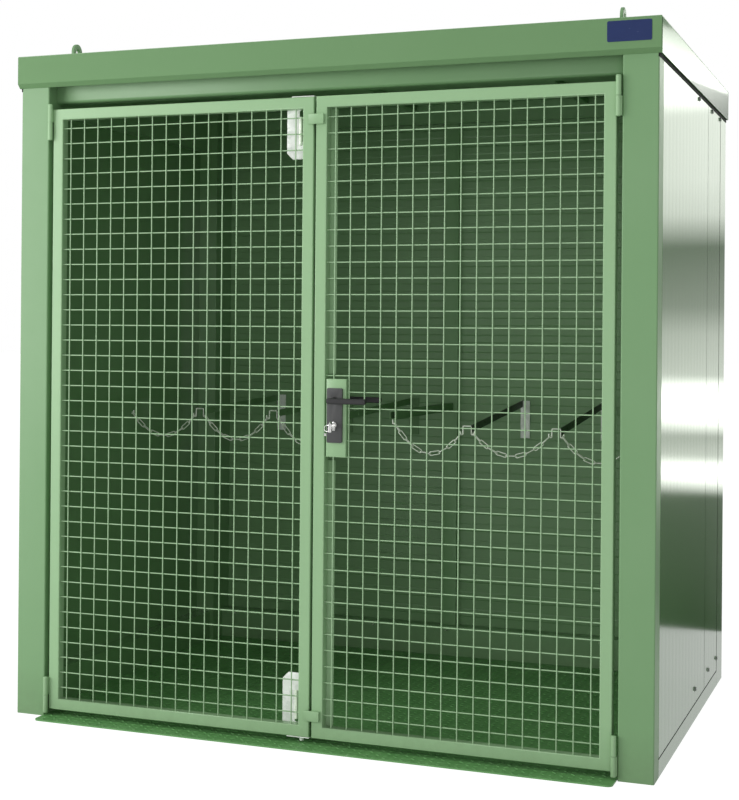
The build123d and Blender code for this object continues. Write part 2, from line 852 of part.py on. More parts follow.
def hanging_curve(start, end, length):
    """Points of a parabola as long as asked between two ends, and the run of the curve up to each."""
    width = end[0] - start[0]
    low_sag = 0
    high_sag = length
    for _ in range(bisection_steps):
        sag = (low_sag + high_sag) / 2
        points = []
        runs = [0]
        for step in range(curve_steps + 1):
            share = step / curve_steps
            drop = 4 * sag * share * (1 - share)
            points.append((start[0] + share * width, start[1] + share * (end[1] - start[1]) - drop))
            if step > 0:
                runs.append(runs[-1] + math.dist(points[-1], points[-2]))
        if runs[-1] < length:
            low_sag = sag
        else:
            high_sag = sag
    return points, runs


def point_at(points, runs, distance):
    """Point of a curve at a distance along it."""
    index = 1
    while index < len(runs) - 1 and runs[index] < distance:
        index += 1
    share = (distance - runs[index - 1]) / (runs[index] - runs[index - 1])
    before, after = points[index - 1], points[index]
    return (before[0] + share * (after[0] - before[0]), before[1] + share * (after[1] - before[1]))


def span_places(start, end, link_count):
    """Places of the links of one span of chain, an odd number so that both end links straddle their hooks."""
    pitch = link_length - 2 * link_wire - link_play
    wire_distance = link_length - link_wire
    link_count = max(link_count, math.ceil(least_slack * math.dist(start, end) / pitch))
    link_count += 1 - link_count % 2
    points, runs = hanging_curve(start, end, (link_count - 1) * pitch + wire_distance)
    places = []
    for index in range(link_count):
        near = point_at(points, runs, index * pitch)
        far = point_at(points, runs, index * pitch + wire_distance)
        centre = ((near[0] + far[0]) / 2, hook_y + hook_wire / 2, (near[1] + far[1]) / 2)
        slope = math.degrees(math.atan2(far[1] - near[1], far[0] - near[0]))
        lean = Location(centre, (0, -slope, 0))
        places.append(lean * Location((0, 0, 0), (90 * (index % 2), 0, 0)))
    return places


seat_reach = hook_gap / 2
seat_rise = link_wire / math.sqrt(2) + link_seat
bow_reach = bow_width / 2 + seat_reach
with BuildPart() as chain_left:
    left_places = arm_places[:left_arm_count]
    starts = [(-wall_inner_x + seat_reach, wall_hook_height + seat_rise)]
    starts += [(place + bow_reach, left_foot_height + seat_rise) for place in left_places[:-1]]
    ends = [(place - bow_reach, left_foot_height + seat_rise) for place in left_places]
    for start, end in zip(starts, ends):
        with Locations(*span_places(start, end, full_span_links)):
            add(chain_link.part)
save(chain_left, "chain_left")

with BuildPart() as chain_right:
    right_places = arm_places[left_arm_count:]
    starts = [(rail_offset + seat_reach, rail_hook_height + seat_rise)]
    starts += [(place + bow_reach, right_foot_height + seat_rise) for place in right_places]
    ends = [(place - bow_reach, right_foot_height + seat_rise) for place in right_places]
    ends += [(wall_inner_x - seat_reach, right_foot_height + seat_rise)]
    counts = [full_span_links] * len(right_places) + [wall_span_links]
    for start, end, count in zip(starts, ends, counts):
        with Locations(*span_places(start, end, count)):
            add(chain_link.part)
save(chain_right, "chain_right")
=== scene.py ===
"""Looks of a gas cylinder container: a green steel cabin with two doors of welded mesh."""

import logging
import math
from dataclasses import dataclass, field
from enum import Enum

import bmesh
import bpy
from mathutils import Matrix, Vector

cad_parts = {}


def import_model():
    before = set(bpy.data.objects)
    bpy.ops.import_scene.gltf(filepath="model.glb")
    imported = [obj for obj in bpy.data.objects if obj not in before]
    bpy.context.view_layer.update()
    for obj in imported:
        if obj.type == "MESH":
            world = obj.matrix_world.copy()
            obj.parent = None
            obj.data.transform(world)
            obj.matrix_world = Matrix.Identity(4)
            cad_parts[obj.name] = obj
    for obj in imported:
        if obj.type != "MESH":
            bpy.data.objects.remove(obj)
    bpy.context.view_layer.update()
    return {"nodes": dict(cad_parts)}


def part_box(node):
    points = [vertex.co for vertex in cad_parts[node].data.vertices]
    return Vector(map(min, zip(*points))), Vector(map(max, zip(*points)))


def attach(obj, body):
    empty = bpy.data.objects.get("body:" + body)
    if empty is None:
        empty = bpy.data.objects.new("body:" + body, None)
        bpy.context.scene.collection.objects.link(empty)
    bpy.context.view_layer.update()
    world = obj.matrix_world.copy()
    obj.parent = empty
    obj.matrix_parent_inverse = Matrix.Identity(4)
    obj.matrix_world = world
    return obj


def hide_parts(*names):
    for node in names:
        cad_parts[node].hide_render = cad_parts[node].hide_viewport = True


MM = 0.001
NOISE = "ShaderNodeTexNoise"
MATH = "ShaderNodeMath"
LOG = logging.getLogger("gas_cylinder_container")
Point = tuple[float, float, float]
Pair = tuple[float, float]
Piece = bpy.types.Object
Node = bpy.types.Node
Socket = bpy.types.NodeSocket
Tree = bpy.types.GeometryNodeTree
Mesh = bpy.types.Mesh
Shape = bmesh.types.BMesh


class Body(str, Enum):
    """The bodies of the frame that pieces ride on."""

    CABIN = "cabin"
    LEFT_LEAF = "left_leaf"
    RIGHT_LEAF = "right_leaf"
    LEVER = "lever"


class Slot(str, Enum):
    """The record's material slots."""

    GREEN = "green_paint"
    WALL = "wall_sheet"
    TREAD = "tread_plate"
    ZINC = "zinc"
    DARK = "dark_steel"
    GREY = "grey_plastic"
    BLACK = "black_plastic"
    NICKEL = "nickel"


class Along(Enum):
    """The axis that a lathed piece is turned on."""

    Y = 1
    Z = 2


class Turned(Enum):
    """How a piece on a point is turned: the point's attribute, the node that reads it, its settings."""

    BY_ANGLES = ("turn", "FunctionNodeEulerToRotation", {})
    TO_FACE = ("facing", "FunctionNodeAlignRotationToVector", {"axis": "Z"})


# Node trees


def linear(colour: str) -> tuple[float, float, float, float]:
    """Turn an sRGB hex colour into the linear values that a shader takes.

    Args:
        colour: Six hex digits, without a leading sign.

    Returns:
        Red, green, blue and an alpha of 1.
    """
    channels = [int(colour[i : i + 2], 16) / 255 for i in (0, 2, 4)]
    return (*[c / 12.92 if c <= 0.04045 else ((c + 0.055) / 1.055) ** 2.4 for c in channels], 1.0)


@dataclass
class Draft:
    """A node tree in the making."""

    tree: bpy.types.NodeTree

    def add(
        self, kind: str, values: dict | None = None, links: dict | None = None, **settings: object
    ) -> Node:
        """Add a node with its settings, values and links.

        Args:
            kind: The node's type name.
            values: Input values by socket name or number.
            links: What goes in, by socket name or number: a socket, or a node for its first output.
            **settings: Properties of the node itself.

        Returns:
            The new node.
        """
        node = self.tree.nodes.new(kind)
        for name, setting in settings.items():
            setattr(node, name, setting)
        for socket, value in (values or {}).items():
            node.inputs[socket].default_value = value
        for socket, source in (links or {}).items():
            self.link(source, node, socket)
        return node

    def link(self, source: Node | Socket, node: Node, socket: str | int) -> None:
        """Link a socket, or a node's first output, to another node."""
        start = source.outputs[0] if isinstance(source, Node) else source
        self.tree.links.new(start, node.inputs[socket])


def emptied(owner: bpy.types.Material | bpy.types.World) -> bpy.types.NodeTree:
    """Clear the node tree of a material or a world, and give it."""
    owner.use_nodes = True
    owner.node_tree.nodes.clear()
    return owner.node_tree


@dataclass
class Coat(Draft):
    """A material's tree in the making, with its shader and the object's coordinates."""

    shader: Node = field(init=False)
    at: dict = field(init=False)

    def __post_init__(self) -> None:
        """Start the tree with its shader and the coordinates that patterns read."""
        self.shader = self.add("ShaderNodeBsdfPrincipled")
        self.add("ShaderNodeOutputMaterial", links={"Surface": self.shader})
        self.at = {"Vector": self.add("ShaderNodeTexCoord").outputs["Object"]}

    def gloss(self, pattern: Node, low: float, high: float) -> None:
        """Let a pattern vary the roughness between two values."""
        rough = self.add("ShaderNodeMapRange", {"To Min": low, "To Max": high}, {"Value": pattern})
        self.link(rough, self.shader, "Roughness")

    def relief(self, pattern: Node, strength: float, depth: float) -> None:
        """Let a pattern stand out as fine relief, with its depth in metres."""
        bump = self.add("ShaderNodeBump", {"Strength": strength, "Distance": depth}, {"Height": pattern})
        self.link(bump, self.shader, "Normal")


# Finishes


@dataclass(frozen=True)
class Finish:
    """What all finishes share: two near colours in a soft mottle, a grain in the gloss and a relief.

    Mottle, grain and relief are noises: their waves in a metre, their detail and their roughness.
    """

    name: str
    colour: str
    slot: Slot
    second_colour: str = ""
    roughness: float = 0.5
    metallic: float = 0.0
    mottle: Point = (30.0, 4.0, 0.5)
    grain: Point = (900.0, 3.0, 0.5)
    gloss_range: Pair = (-0.08, 0.1)
    relief: Point = (900.0, 3.0, 0.5)
    relief_strength: float = 0.2
    relief_depth: float = 0.3 * MM

    def material(self) -> bpy.types.Material:
        """Build the finish's material once, and find it again later.

        Returns:
            The material.
        """
        made = bpy.data.materials.get(self.name)
        if not made:
            made = bpy.data.materials.new(self.name)
            self.dress(Coat(emptied(made)))
        return made

    def dress(self, coat: Coat) -> None:
        """Set the shader from the finish's patterns.

        Args:
            coat: The material in the making.
        """
        mottle, grain, relief = (
            coat.add(NOISE, dict(zip(("Scale", "Detail", "Roughness"), noise)), coat.at)
            for noise in (self.mottle, self.grain, self.relief)
        )
        coat.link(self.tone(coat, mottle, grain), coat.shader, "Base Color")
        coat.shader.inputs["Metallic"].default_value = self.metallic
        coat.gloss(grain, *[self.roughness + change for change in self.gloss_range])
        if self.relief_strength:
            coat.relief(relief, self.relief_strength, self.relief_depth)

    def tone(self, coat: Coat, mottle: Node, grain: Node) -> Socket:
        """Give the colour: here the two near ones, mixed by the mottle."""
        colours = {6: linear(self.colour), 7: linear(self.second_colour)}
        return coat.add("ShaderNodeMix", colours, {0: mottle}, data_type="RGBA").outputs[2]


@dataclass(frozen=True)
class PowderCoat(Finish):
    """Polyester powder coat, baked on steel: satin, with the fine orange peel of the melted powder.

    Real orange peel has waves of 1 to 2 mm; these are 4 mm, so that they show at all.
    """

    second_colour: str = "6f9a67"
    roughness: float = 0.42
    mottle: Point = (2.2, 4.0, 0.5)
    grain: Point = (24.0, 8.0, 0.7)
    gloss_range: Pair = (-0.05, 0.08)
    relief: Point = (260.0, 2.0, 0.5)
    relief_strength: float = 0.05
    relief_depth: float = 0.8 * MM
    low_patch_colour: str = "5d6f4f"
    low_patch_height: float = 160 * MM

    def tone(self, coat: Coat, mottle: Node, grain: Node) -> Socket:
        """Darken the green in patches towards the ground.

        Args:
            coat: The material in the making.
            mottle: The pattern of the two greens.
            grain: The pattern of the darker patches.

        Returns:
            The colour.
        """
        green = super().tone(coat, mottle, grain)
        height = coat.add("ShaderNodeSeparateXYZ", links={0: coat.at["Vector"]}).outputs["Z"]
        fading = {"From Min": 0.0, "From Max": self.low_patch_height, "To Min": 0.55, "To Max": 0.0}
        low = coat.add("ShaderNodeMapRange", fading, {"Value": height})
        darker_low_patches = coat.add(MATH, links={0: low, 1: grain}, operation="MULTIPLY")
        grey = {7: linear(self.low_patch_colour)}
        return coat.add("ShaderNodeMix", grey, {0: darker_low_patches, 6: green}, data_type="RGBA").outputs[2]


@dataclass(frozen=True)
class CoilCoat(Finish):
    """Coil-coated sheet, rolled before it is ribbed: glossy and level, so it mirrors softly.

    Its relief has waves of about 600 mm, as a sheet has between its screws.
    """

    second_colour: str = "668f5e"
    roughness: float = 0.13
    refraction: float = 1.55
    mottle: Point = (1.5, 4.0, 0.5)
    grain: Point = (9.0, 6.0, 0.65)
    gloss_range: Pair = (-0.01, 0.02)
    relief: Point = (1.7, 1.0, 0.5)
    relief_strength: float = 0.02
    relief_depth: float = 3 * MM

    def dress(self, coat: Coat) -> None:
        """Set the shader, with a coating that bends light a little more than paint."""
        super().dress(coat)
        coat.shader.inputs["IOR"].default_value = self.refraction


@dataclass(frozen=True)
class TreadPaint(Finish):
    """Green paint rolled on hot-rolled tread plate: a full green, rubbed bright in small patches."""

    second_colour: str = "4a8444"
    roughness: float = 0.36
    mottle: Point = (12.0, 6.0, 0.5)
    grain: Point = (45.0, 8.0, 0.75)
    gloss_range: Pair = (-0.1, 0.2)
    relief: Point = (45.0, 8.0, 0.75)
    relief_strength: float = 0.3
    relief_depth: float = 0.6 * MM
    worn_colour: str = "a9b8a2"

    def tone(self, coat: Coat, mottle: Node, grain: Node) -> Socket:
        """Rub the green bright in small patches.

        Args:
            coat: The material in the making.
            mottle: The pattern of the two greens.
            grain: The pattern of the patches.

        Returns:
            The colour.
        """
        green = super().tone(coat, mottle, grain)
        patches = {"From Min": 0.6, "From Max": 0.74, "To Min": 0.0, "To Max": 0.7}
        rubbed = coat.add("ShaderNodeMapRange", patches, {"Value": grain})
        bright = {7: linear(self.worn_colour)}
        return coat.add("ShaderNodeMix", bright, {0: rubbed, 6: green}, data_type="RGBA").outputs[2]


@dataclass(frozen=True)
class ZincPlate(Finish):
    """Zinc on steel: bright with faint crystals, whose size tells plating from hot dipping."""

    metallic: float = 0.3
    crystal_scale: float = 160.0

    def dress(self, coat: Coat) -> None:
        """Set a bright metal whose crystals differ in tone and gloss.

        Args:
            coat: The material in the making.
        """
        crystals = coat.add("ShaderNodeTexVoronoi", {"Scale": self.crystal_scale}, coat.at)
        tone = coat.add("ShaderNodeSeparateColor", links={0: crystals.outputs["Color"]})
        coat.link(self.tone(coat, tone, tone), coat.shader, "Base Color")
        coat.shader.inputs["Metallic"].default_value = self.metallic
        coat.gloss(tone, self.roughness, self.roughness + 0.2)


@dataclass(frozen=True)
class Moulding(Finish):
    """Moulded plastic, rubber or brushed paint: an even dull colour with a fine grain."""


@dataclass(frozen=True)
class Nickel(Finish):
    """Nickel-plated brass, turned and milled: mirror bright with fine tool marks."""

    roughness: float = 0.18
    metallic: float = 1.0
    grain: Point = (700.0, 2.0, 0.5)
    gloss_range: Pair = (-0.06, 0.12)
    relief_strength: float = 0.0


@dataclass(frozen=True)
class PlateEnamel(Finish):
    """Stoved enamel on a thin aluminium plate: deep, level and glossy."""

    roughness: float = 0.22
    mottle: Point = (14.0, 4.0, 0.5)
    grain: Point = (60.0, 5.0, 0.5)
    gloss_range: Pair = (-0.05, 0.1)
    relief_strength: float = 0.0


COAT = PowderCoat("powder_coat_green", "7da376", Slot.GREEN)
FRONT_COAT = PowderCoat("powder_coat_on_fascia", "6b9262", Slot.GREEN, "668d5d", 0.7)
# Painted sheen: the leaves' green is lighter and greyer than the cabin's, standing for the white sheen that
# their glossy tubes mirror
LEAF_COAT_PAINTED_SHEEN = PowderCoat("powder_coat_with_painted_sheen", "97bc8e", Slot.GREEN, "90b688", 0.36)
WIRE_COAT = PowderCoat("powder_coat_on_wire", "a2c29a", Slot.GREEN, "98ba90", relief=(500.0, 2.0, 0.5))
RAIL_PAINT = PowderCoat("dark_green_paint", "678c5f", Slot.GREEN, "5f8457", 0.6)
WALL = CoilCoat("coil_coat_green", "6f9a66", Slot.WALL)
FASCIA = CoilCoat("coil_coat_folded", "6f9a66", Slot.GREEN, relief_strength=0.004)
INNER_WALL = CoilCoat("coil_coat_green_inside", "7ba373", Slot.WALL, "6d9465", 0.34)
TREAD = TreadPaint("tread_plate_paint", "72a868", Slot.TREAD)
# Partly painted reflection: bright zinc, with a green tint that stands for the green walls it mirrors
ZINC = ZincPlate("zinc_with_painted_green_reflection", "f0f8e8", Slot.ZINC, "e4eedc", 0.3)
SCREW = ZincPlate("browned_screw_steel", "8f958f", Slot.ZINC, "70766f", 0.3, 0.7)
DIPPED = ZincPlate("hot_dip_zinc", "f0f3ee", Slot.ZINC, "dfe5de", 0.5, 0.25, crystal_scale=90.0)
# Painted shade: a darkened green for the bars on the right, which lie in shade at the rear wall
ARM_PAINTED_SHADE = Moulding("green_paint_darkened_as_painted_shade", "2c422a", Slot.DARK, "243722")
BAR_PAINT = Moulding("green_paint_on_bar", "6f9467", Slot.DARK, "668b5e", 0.7)
# Painted shade: green in place of bare zinc on two brackets that lie in shade
BRACKET_PAINTED_SHADE = Moulding("green_on_bracket_painted_shade", "678c5f", Slot.ZINC, "5f8457", 0.6)
PLATE_PLASTIC = Moulding("grey_polyamide", "414241", Slot.GREY, "444546")
GRIP_PLASTIC = Moulding("black_polyamide", "1d1d1d", Slot.BLACK, "232325", 0.4)
CHROME = Nickel("nickel_plated_brass", "dcdcda", Slot.NICKEL, "dcdcda")
NAMEPLATE = PlateEnamel("blue_plate_enamel", "182a5a", Slot.GREEN, "1d3163")
# Black rubber for the joints, also used as painted shadow under the side fascias
RUBBER_AND_PAINTED_SHADOW = Moulding("black_rubber_and_painted_shadow", "0b0c0b", Slot.DARK, "101110", 0.95)


# Geometry Nodes trees


class PieceTree(Draft):
    """A Geometry Nodes tree with named inputs, which ends in Realize Instances and Set Material."""

    def __init__(self, name: str) -> None:
        """Start the tree with its points or lines going in.

        Args:
            name: The tree's name.
        """
        super().__init__(bpy.data.node_groups.new(name, "GeometryNodeTree"))
        for way in ("INPUT", "OUTPUT"):
            self.tree.interface.new_socket("Geometry", in_out=way, socket_type="NodeSocketGeometry")
        self.inlet = self.tree.nodes.new("NodeGroupInput")

    def sizes(self, *names: str, kind: str = "Float") -> list[Socket]:
        """Add named inputs.

        Args:
            *names: Their names.
            kind: Their kind.

        Returns:
            Their sockets.
        """
        for name in names:
            self.tree.interface.new_socket(name, in_out="INPUT", socket_type=f"NodeSocket{kind}")
        return [self.inlet.outputs[name] for name in names]

    def on_points(self, piece: Node, turned: Turned) -> Node:
        """Put a piece on each point.

        Args:
            piece: The node that makes the piece.
            turned: How the piece is turned.

        Returns:
            The node that places it.
        """
        attribute, kind, settings = turned.value
        points = self.add("GeometryNodeMeshToPoints", links={"Mesh": self.inlet})
        read = self.add("GeometryNodeInputNamedAttribute", {"Name": attribute}, data_type="FLOAT_VECTOR")
        turn = self.add(kind, links={-1: read}, **settings)
        inputs = {"Points": points, "Instance": piece, "Rotation": turn}
        return self.add("GeometryNodeInstanceOnPoints", links=inputs)

    def end(self, geometry: Node, smooth: bool = True) -> Tree:
        """Close the tree: realize, shade and set the material.

        Args:
            geometry: The node that made the last of it.
            smooth: Whether its faces are shaded smooth.

        Returns:
            The finished tree.
        """
        (material,) = self.sizes("Material", kind="Material")
        real = self.add("GeometryNodeRealizeInstances", links={"Geometry": geometry})
        shaded = self.add("GeometryNodeSetShadeSmooth", {"Shade Smooth": smooth}, {"Geometry": real})
        painted = self.add("GeometryNodeSetMaterial", links={"Geometry": shaded, "Material": material})
        self.add("NodeGroupOutput", links={0: painted})
        return self.tree


def rods_tree() -> Tree:
    """Tree that turns each line of a mesh into a round rod with bent corners.

    Returns:
        The tree, with the inputs Radius, Bend, Sides and Bend steps.
    """
    draft = PieceTree("rods_along_lines")
    radius, bend = draft.sizes("Radius", "Bend")
    sides, steps = draft.sizes("Sides", "Bend steps", kind="Int")
    curves = draft.add("GeometryNodeMeshToCurve", links={"Mesh": draft.inlet})
    turns = {"Curve": curves, "Radius": bend, "Count": steps}
    bent = draft.add("GeometryNodeFilletCurve", {"Limit Radius": True}, turns, mode="POLY")
    outline = {"Radius": radius, "Resolution": sides}
    circle = draft.add("GeometryNodeCurvePrimitiveCircle", links=outline, mode="RADIUS")
    swept = {"Curve": bent, "Profile Curve": circle}
    return draft.end(draft.add("GeometryNodeCurveToMesh", {"Fill Caps": True}, swept))


def links_tree() -> Tree:
    """Tree that puts a round-ended chain link on each point, turned by the point's own turn.

    Returns:
        The tree, with the inputs Length, Width and Wire.
    """
    draft = PieceTree("chain_links")
    length, width, wire = draft.sizes("Length", "Width", "Wire")
    half_wire = draft.add(MATH, {1: 0.5}, {0: wire}, operation="MULTIPLY")
    line_length = draft.add(MATH, links={0: length, 1: wire}, operation="SUBTRACT")
    line_width = draft.add(MATH, links={0: width, 1: wire}, operation="SUBTRACT")
    # Just under half the width, so that the ends' arcs don't meet
    round_end = draft.add(MATH, {1: 0.499}, {0: line_width}, operation="MULTIPLY")
    size = {"Width": line_length, "Height": line_width}
    outline = draft.add("GeometryNodeCurvePrimitiveQuadrilateral", links=size, mode="RECTANGLE")
    ends = {"Curve": outline, "Radius": round_end}
    rounded = draft.add("GeometryNodeFilletCurve", {"Count": 4, "Limit Radius": True}, ends, mode="POLY")
    thick = {"Radius": half_wire}
    section = draft.add("GeometryNodeCurvePrimitiveCircle", {"Resolution": 8}, thick, mode="RADIUS")
    link = draft.add("GeometryNodeCurveToMesh", links={"Curve": rounded, "Profile Curve": section})
    return draft.end(draft.on_points(link, Turned.BY_ANGLES))


def screws_tree() -> Tree:
    """Tree that puts a hexagon head with its washer on each point, facing along the point's own facing.

    Returns:
        The tree, with the inputs Head radius, Head height, Washer radius and Washer height.
    """
    draft = PieceTree("hexagon_screws")
    head_radius, head_height = draft.sizes("Head radius", "Head height")
    washer_radius, washer_height = draft.sizes("Washer radius", "Washer height")
    half_washer = draft.add(MATH, {1: 0.5}, {0: washer_height}, operation="MULTIPLY")
    above = {0: head_height, 2: washer_height}
    middle = draft.add(MATH, {1: 0.5}, above, operation="MULTIPLY_ADD")
    both = draft.add("GeometryNodeJoinGeometry")
    for sides, radius, height, rise in (
        (20, washer_radius, washer_height, half_washer),
        (6, head_radius, head_height, middle),
    ):
        size = {"Radius": radius, "Depth": height}
        part = draft.add("GeometryNodeMeshCylinder", {"Vertices": sides}, size, fill_type="NGON")
        lift = draft.add("ShaderNodeCombineXYZ", links={"Z": rise})
        moved = draft.add("GeometryNodeTransform", links={"Geometry": part, "Translation": lift})
        draft.link(moved, both, 0)
    return draft.end(draft.on_points(both, Turned.TO_FACE), smooth=False)


def studs_tree() -> Tree:
    """Tree that puts a drop-shaped stud on each point, turned by the point's own turn.

    Returns:
        The tree, with the inputs Length, Width and Height.
    """
    draft = PieceTree("tread_studs")
    length, width, height = draft.sizes("Length", "Width", "Height")
    dome = draft.add("GeometryNodeMeshUVSphere", {"Segments": 8, "Rings": 4, "Radius": 1.0})
    half = draft.add("ShaderNodeCombineXYZ", links={"X": length, "Y": width, "Z": height})
    drop = draft.add("GeometryNodeTransform", links={"Geometry": dome, "Scale": half})
    return draft.end(draft.on_points(drop, Turned.BY_ANGLES))


# Meshes


def new_object(name: str, data: bpy.types.ID) -> Piece:
    """Put an object into the scene.

    Args:
        name: Its name.
        data: Its mesh, lamp or camera.

    Returns:
        The object.
    """
    made = bpy.data.objects.new(name, data)
    bpy.context.scene.collection.objects.link(made)
    return made


def mesh_from(name: str, points: list[Point], edges: list, faces: list) -> Mesh:
    """Make a mesh from points, with edges or faces between them.

    Args:
        name: The mesh's name.
        points: Its points, in metres.
        edges: Pairs of points.
        faces: Rings of points.

    Returns:
        The mesh.
    """
    mesh = bpy.data.meshes.new(name)
    mesh.from_pydata([tuple(p) for p in points], edges, faces)
    mesh.update()
    return mesh


def lines_mesh(name: str, lines: list[list[Point]]) -> Mesh:
    """Make a mesh of open lines.

    Args:
        name: The mesh's name.
        lines: The points of each line.

    Returns:
        The mesh.
    """
    points: list[Point] = []
    edges: list[tuple[int, int]] = []
    for line in lines:
        edges += [(len(points) + i, len(points) + i + 1) for i in range(len(line) - 1)]
        points += line
    return mesh_from(name, points, edges, [])


def points_mesh(name: str, points: list[Point], turned: Turned, values: list[Point]) -> Mesh:
    """Make a mesh of loose points.

    Args:
        name: The mesh's name.
        points: The points.
        turned: How the pieces on them are turned.
        values: The turn or the facing of each point.

    Returns:
        The mesh.
    """
    mesh = mesh_from(name, points, [], [])
    layer = mesh.attributes.new(turned.value[0], "FLOAT_VECTOR", "POINT")
    layer.data.foreach_set("vector", [c for value in values for c in value])
    return mesh


def settle(piece: Piece, body: Body, finish: Finish, *nodes: str, smooth: bool = True) -> None:
    """Give a piece its finish, its body and the nodes that it stands for.

    Args:
        piece: The piece, in place.
        body: The body that it rides on.
        finish: Its finish.
        *nodes: CAD nodes that it replaces.
        smooth: Whether its faces are shaded smooth.
    """
    if not piece.data.materials or piece.data.materials[0] is None:
        piece.data.materials.clear()
        piece.data.materials.append(finish.material())
    if smooth:
        piece.data.polygons.foreach_set("use_smooth", [True] * len(piece.data.polygons))
    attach(piece, body.value)
    if nodes:
        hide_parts(*nodes)
    LOG.info("%s on %s, %d faces", piece.name, body.value, len(piece.data.polygons))


def grow(
    seed: Mesh, tree: Tree, sizes: dict[str, float], body: Body, finish: Finish, *nodes: str
) -> None:
    """Run a Geometry Nodes tree on a mesh, keep the result as a plain piece and settle it.

    Args:
        seed: The points or lines that the tree works on, under the piece's name.
        tree: The tree.
        sizes: Values of its named inputs.
        body: The body that the piece rides on.
        finish: Its finish.
        *nodes: CAD nodes that it replaces.
    """
    name = seed.name
    seed.name = f"{name}_seed"
    carrier = new_object(seed.name, seed)
    modifier = carrier.modifiers.new("grow", "NODES")
    modifier.node_group = tree
    wanted = {**sizes, "Material": finish.material()}
    for item in tree.interface.items_tree:
        if item.item_type == "SOCKET" and item.in_out == "INPUT" and item.name in wanted:
            modifier[item.identifier] = wanted[item.name]
    graph = bpy.context.evaluated_depsgraph_get()
    result = bpy.data.meshes.new_from_object(carrier.evaluated_get(graph), depsgraph=graph)
    bpy.data.objects.remove(carrier)
    result.name = name
    settle(new_object(name, result), body, finish, *nodes, smooth=False)


def rod_sizes(radius: float, sides: int, bend: float = 0.0, steps: int = 1) -> dict[str, float]:
    """Sizes of a rod: its radius, the faces round it, and the radius and faces of its bends."""
    return {"Radius": radius, "Sides": sides, "Bend": bend, "Bend steps": steps}


def merged(node: Piece, flat: bool = True) -> Shape:
    """Copy a CAD node's shape and merge its loose triangles.

    Args:
        node: The CAD node.
        flat: Whether flat neighbours are joined to one face too.

    Returns:
        The shape.
    """
    shape = bmesh.new()
    shape.from_mesh(node.data)
    bmesh.ops.remove_doubles(shape, verts=shape.verts, dist=0.01 * MM)
    if flat:
        angle = math.radians(1)
        bmesh.ops.dissolve_limit(shape, angle_limit=angle, verts=shape.verts, edges=shape.edges)
    return shape


def piece_from(name: str, shape: Shape, turn_out: bool = False) -> Piece:
    """Make a shape a piece.

    Args:
        name: The piece's name.
        shape: Its shape, which is freed.
        turn_out: Whether its faces are turned outwards first, after its doubles are merged.

    Returns:
        The piece.
    """
    if turn_out:
        bmesh.ops.remove_doubles(shape, verts=shape.verts, dist=0.001 * MM)
        bmesh.ops.recalc_face_normals(shape, faces=shape.faces)
    mesh = bpy.data.meshes.new(name)
    shape.to_mesh(mesh)
    shape.free()
    return new_object(name, mesh)


def break_edges(piece: Piece, width: float, steps: int, angle: float = 25, harden: bool = True) -> None:
    """Break a piece's sharp edges with a live bevel.

    Args:
        piece: The piece.
        width: Width of the broken edge.
        steps: Faces across it.
        angle: Degrees from which an edge counts as sharp.
        harden: Whether the faces beside it stay flat to the eye.
    """
    bevel = piece.modifiers.new("broken_edges", "BEVEL")
    bevel.width, bevel.segments = width, steps
    bevel.limit_method, bevel.angle_limit = "ANGLE", math.radians(angle)
    bevel.harden_normals = harden


def softened(node: Piece, width: float, steps: int = 2) -> Piece:
    """Copy a CAD node with its sharp edges broken.

    Args:
        node: The CAD node.
        width: Width of the broken edge.
        steps: Faces across it.

    Returns:
        The copy, with a live bevel.
    """
    copy = piece_from(f"{node.name}_soft", merged(node))
    break_edges(copy, width, steps)
    return copy


def weigh_normals(piece: Piece) -> None:
    """Let a piece's flat faces rule its shading, so that only its corners look round."""
    piece.modifiers.new("flat_faces_first", "WEIGHTED_NORMAL").keep_sharp = True


def rounded_square(low: Pair, high: Pair, radius: float, steps: int = 4) -> list[Pair]:
    """Points of a rectangle with round corners, counter-clockwise.

    Args:
        low: Its lowest corner.
        high: Its highest corner.
        radius: Radius of its corners.
        steps: Straight pieces in a corner.

    Returns:
        The points.
    """
    right, top, left, bottom = high[0] - radius, high[1] - radius, low[0] + radius, low[1] + radius
    outline = []
    for x, y, start in ((right, top, 0), (left, top, 90), (left, bottom, 180), (right, bottom, 270)):
        for step in range(steps + 1):
            angle = math.radians(start + 90 * step / steps)
            outline.append((x + radius * math.cos(angle), y + radius * math.sin(angle)))
    return outline


def lofted(name: str, rings: list[list[Point]], closed: bool = False) -> Piece:
    """Join rings of points into a closed shape.

    Args:
        name: The piece's name.
        rings: Rings with the same number of points each.
        closed: Whether the last ring joins the first, in place of a cap at each end.

    Returns:
        The piece.
    """
    count, total = len(rings[0]), len(rings)
    faces = []
    for ring in range(total if closed else total - 1):
        near, far = ring * count, (ring + 1) % total * count
        faces += [(near + i, near + (i + 1) % count, far + (i + 1) % count, far + i) for i in range(count)]
    if not closed:
        faces += [tuple(reversed(range(count))), tuple(range((total - 1) * count, total * count))]
    mesh = mesh_from(name, [point for ring in rings for point in ring], [], faces)
    shape = bmesh.new()
    shape.from_mesh(mesh)
    bpy.data.meshes.remove(mesh)
    return piece_from(name, shape, turn_out=True)


def lathed(name: str, centre: Point, profile: list[Pair], axis: Along, sides: int = 24) -> Piece:
    """Turn a profile round an axis.

    Args:
        name: The piece's name.
        centre: The point that the profile's heights count from.
        profile: Radius and height of each point, from one end to the other.
        axis: The direction of the axis.
        sides: Faces round it.

    Returns:
        The piece.
    """
    run = axis.value
    first, second = (run + 1) % 3, (run + 2) % 3
    rings = []
    for radius, height in profile:
        rings.append([])
        for side in range(sides):
            angle = 2 * math.pi * side / sides
            point = list(centre)
            point[run] += height
            point[first] += radius * math.cos(angle)
            point[second] += radius * math.sin(angle)
            rings[-1].append(tuple(point))
    return lofted(name, rings)


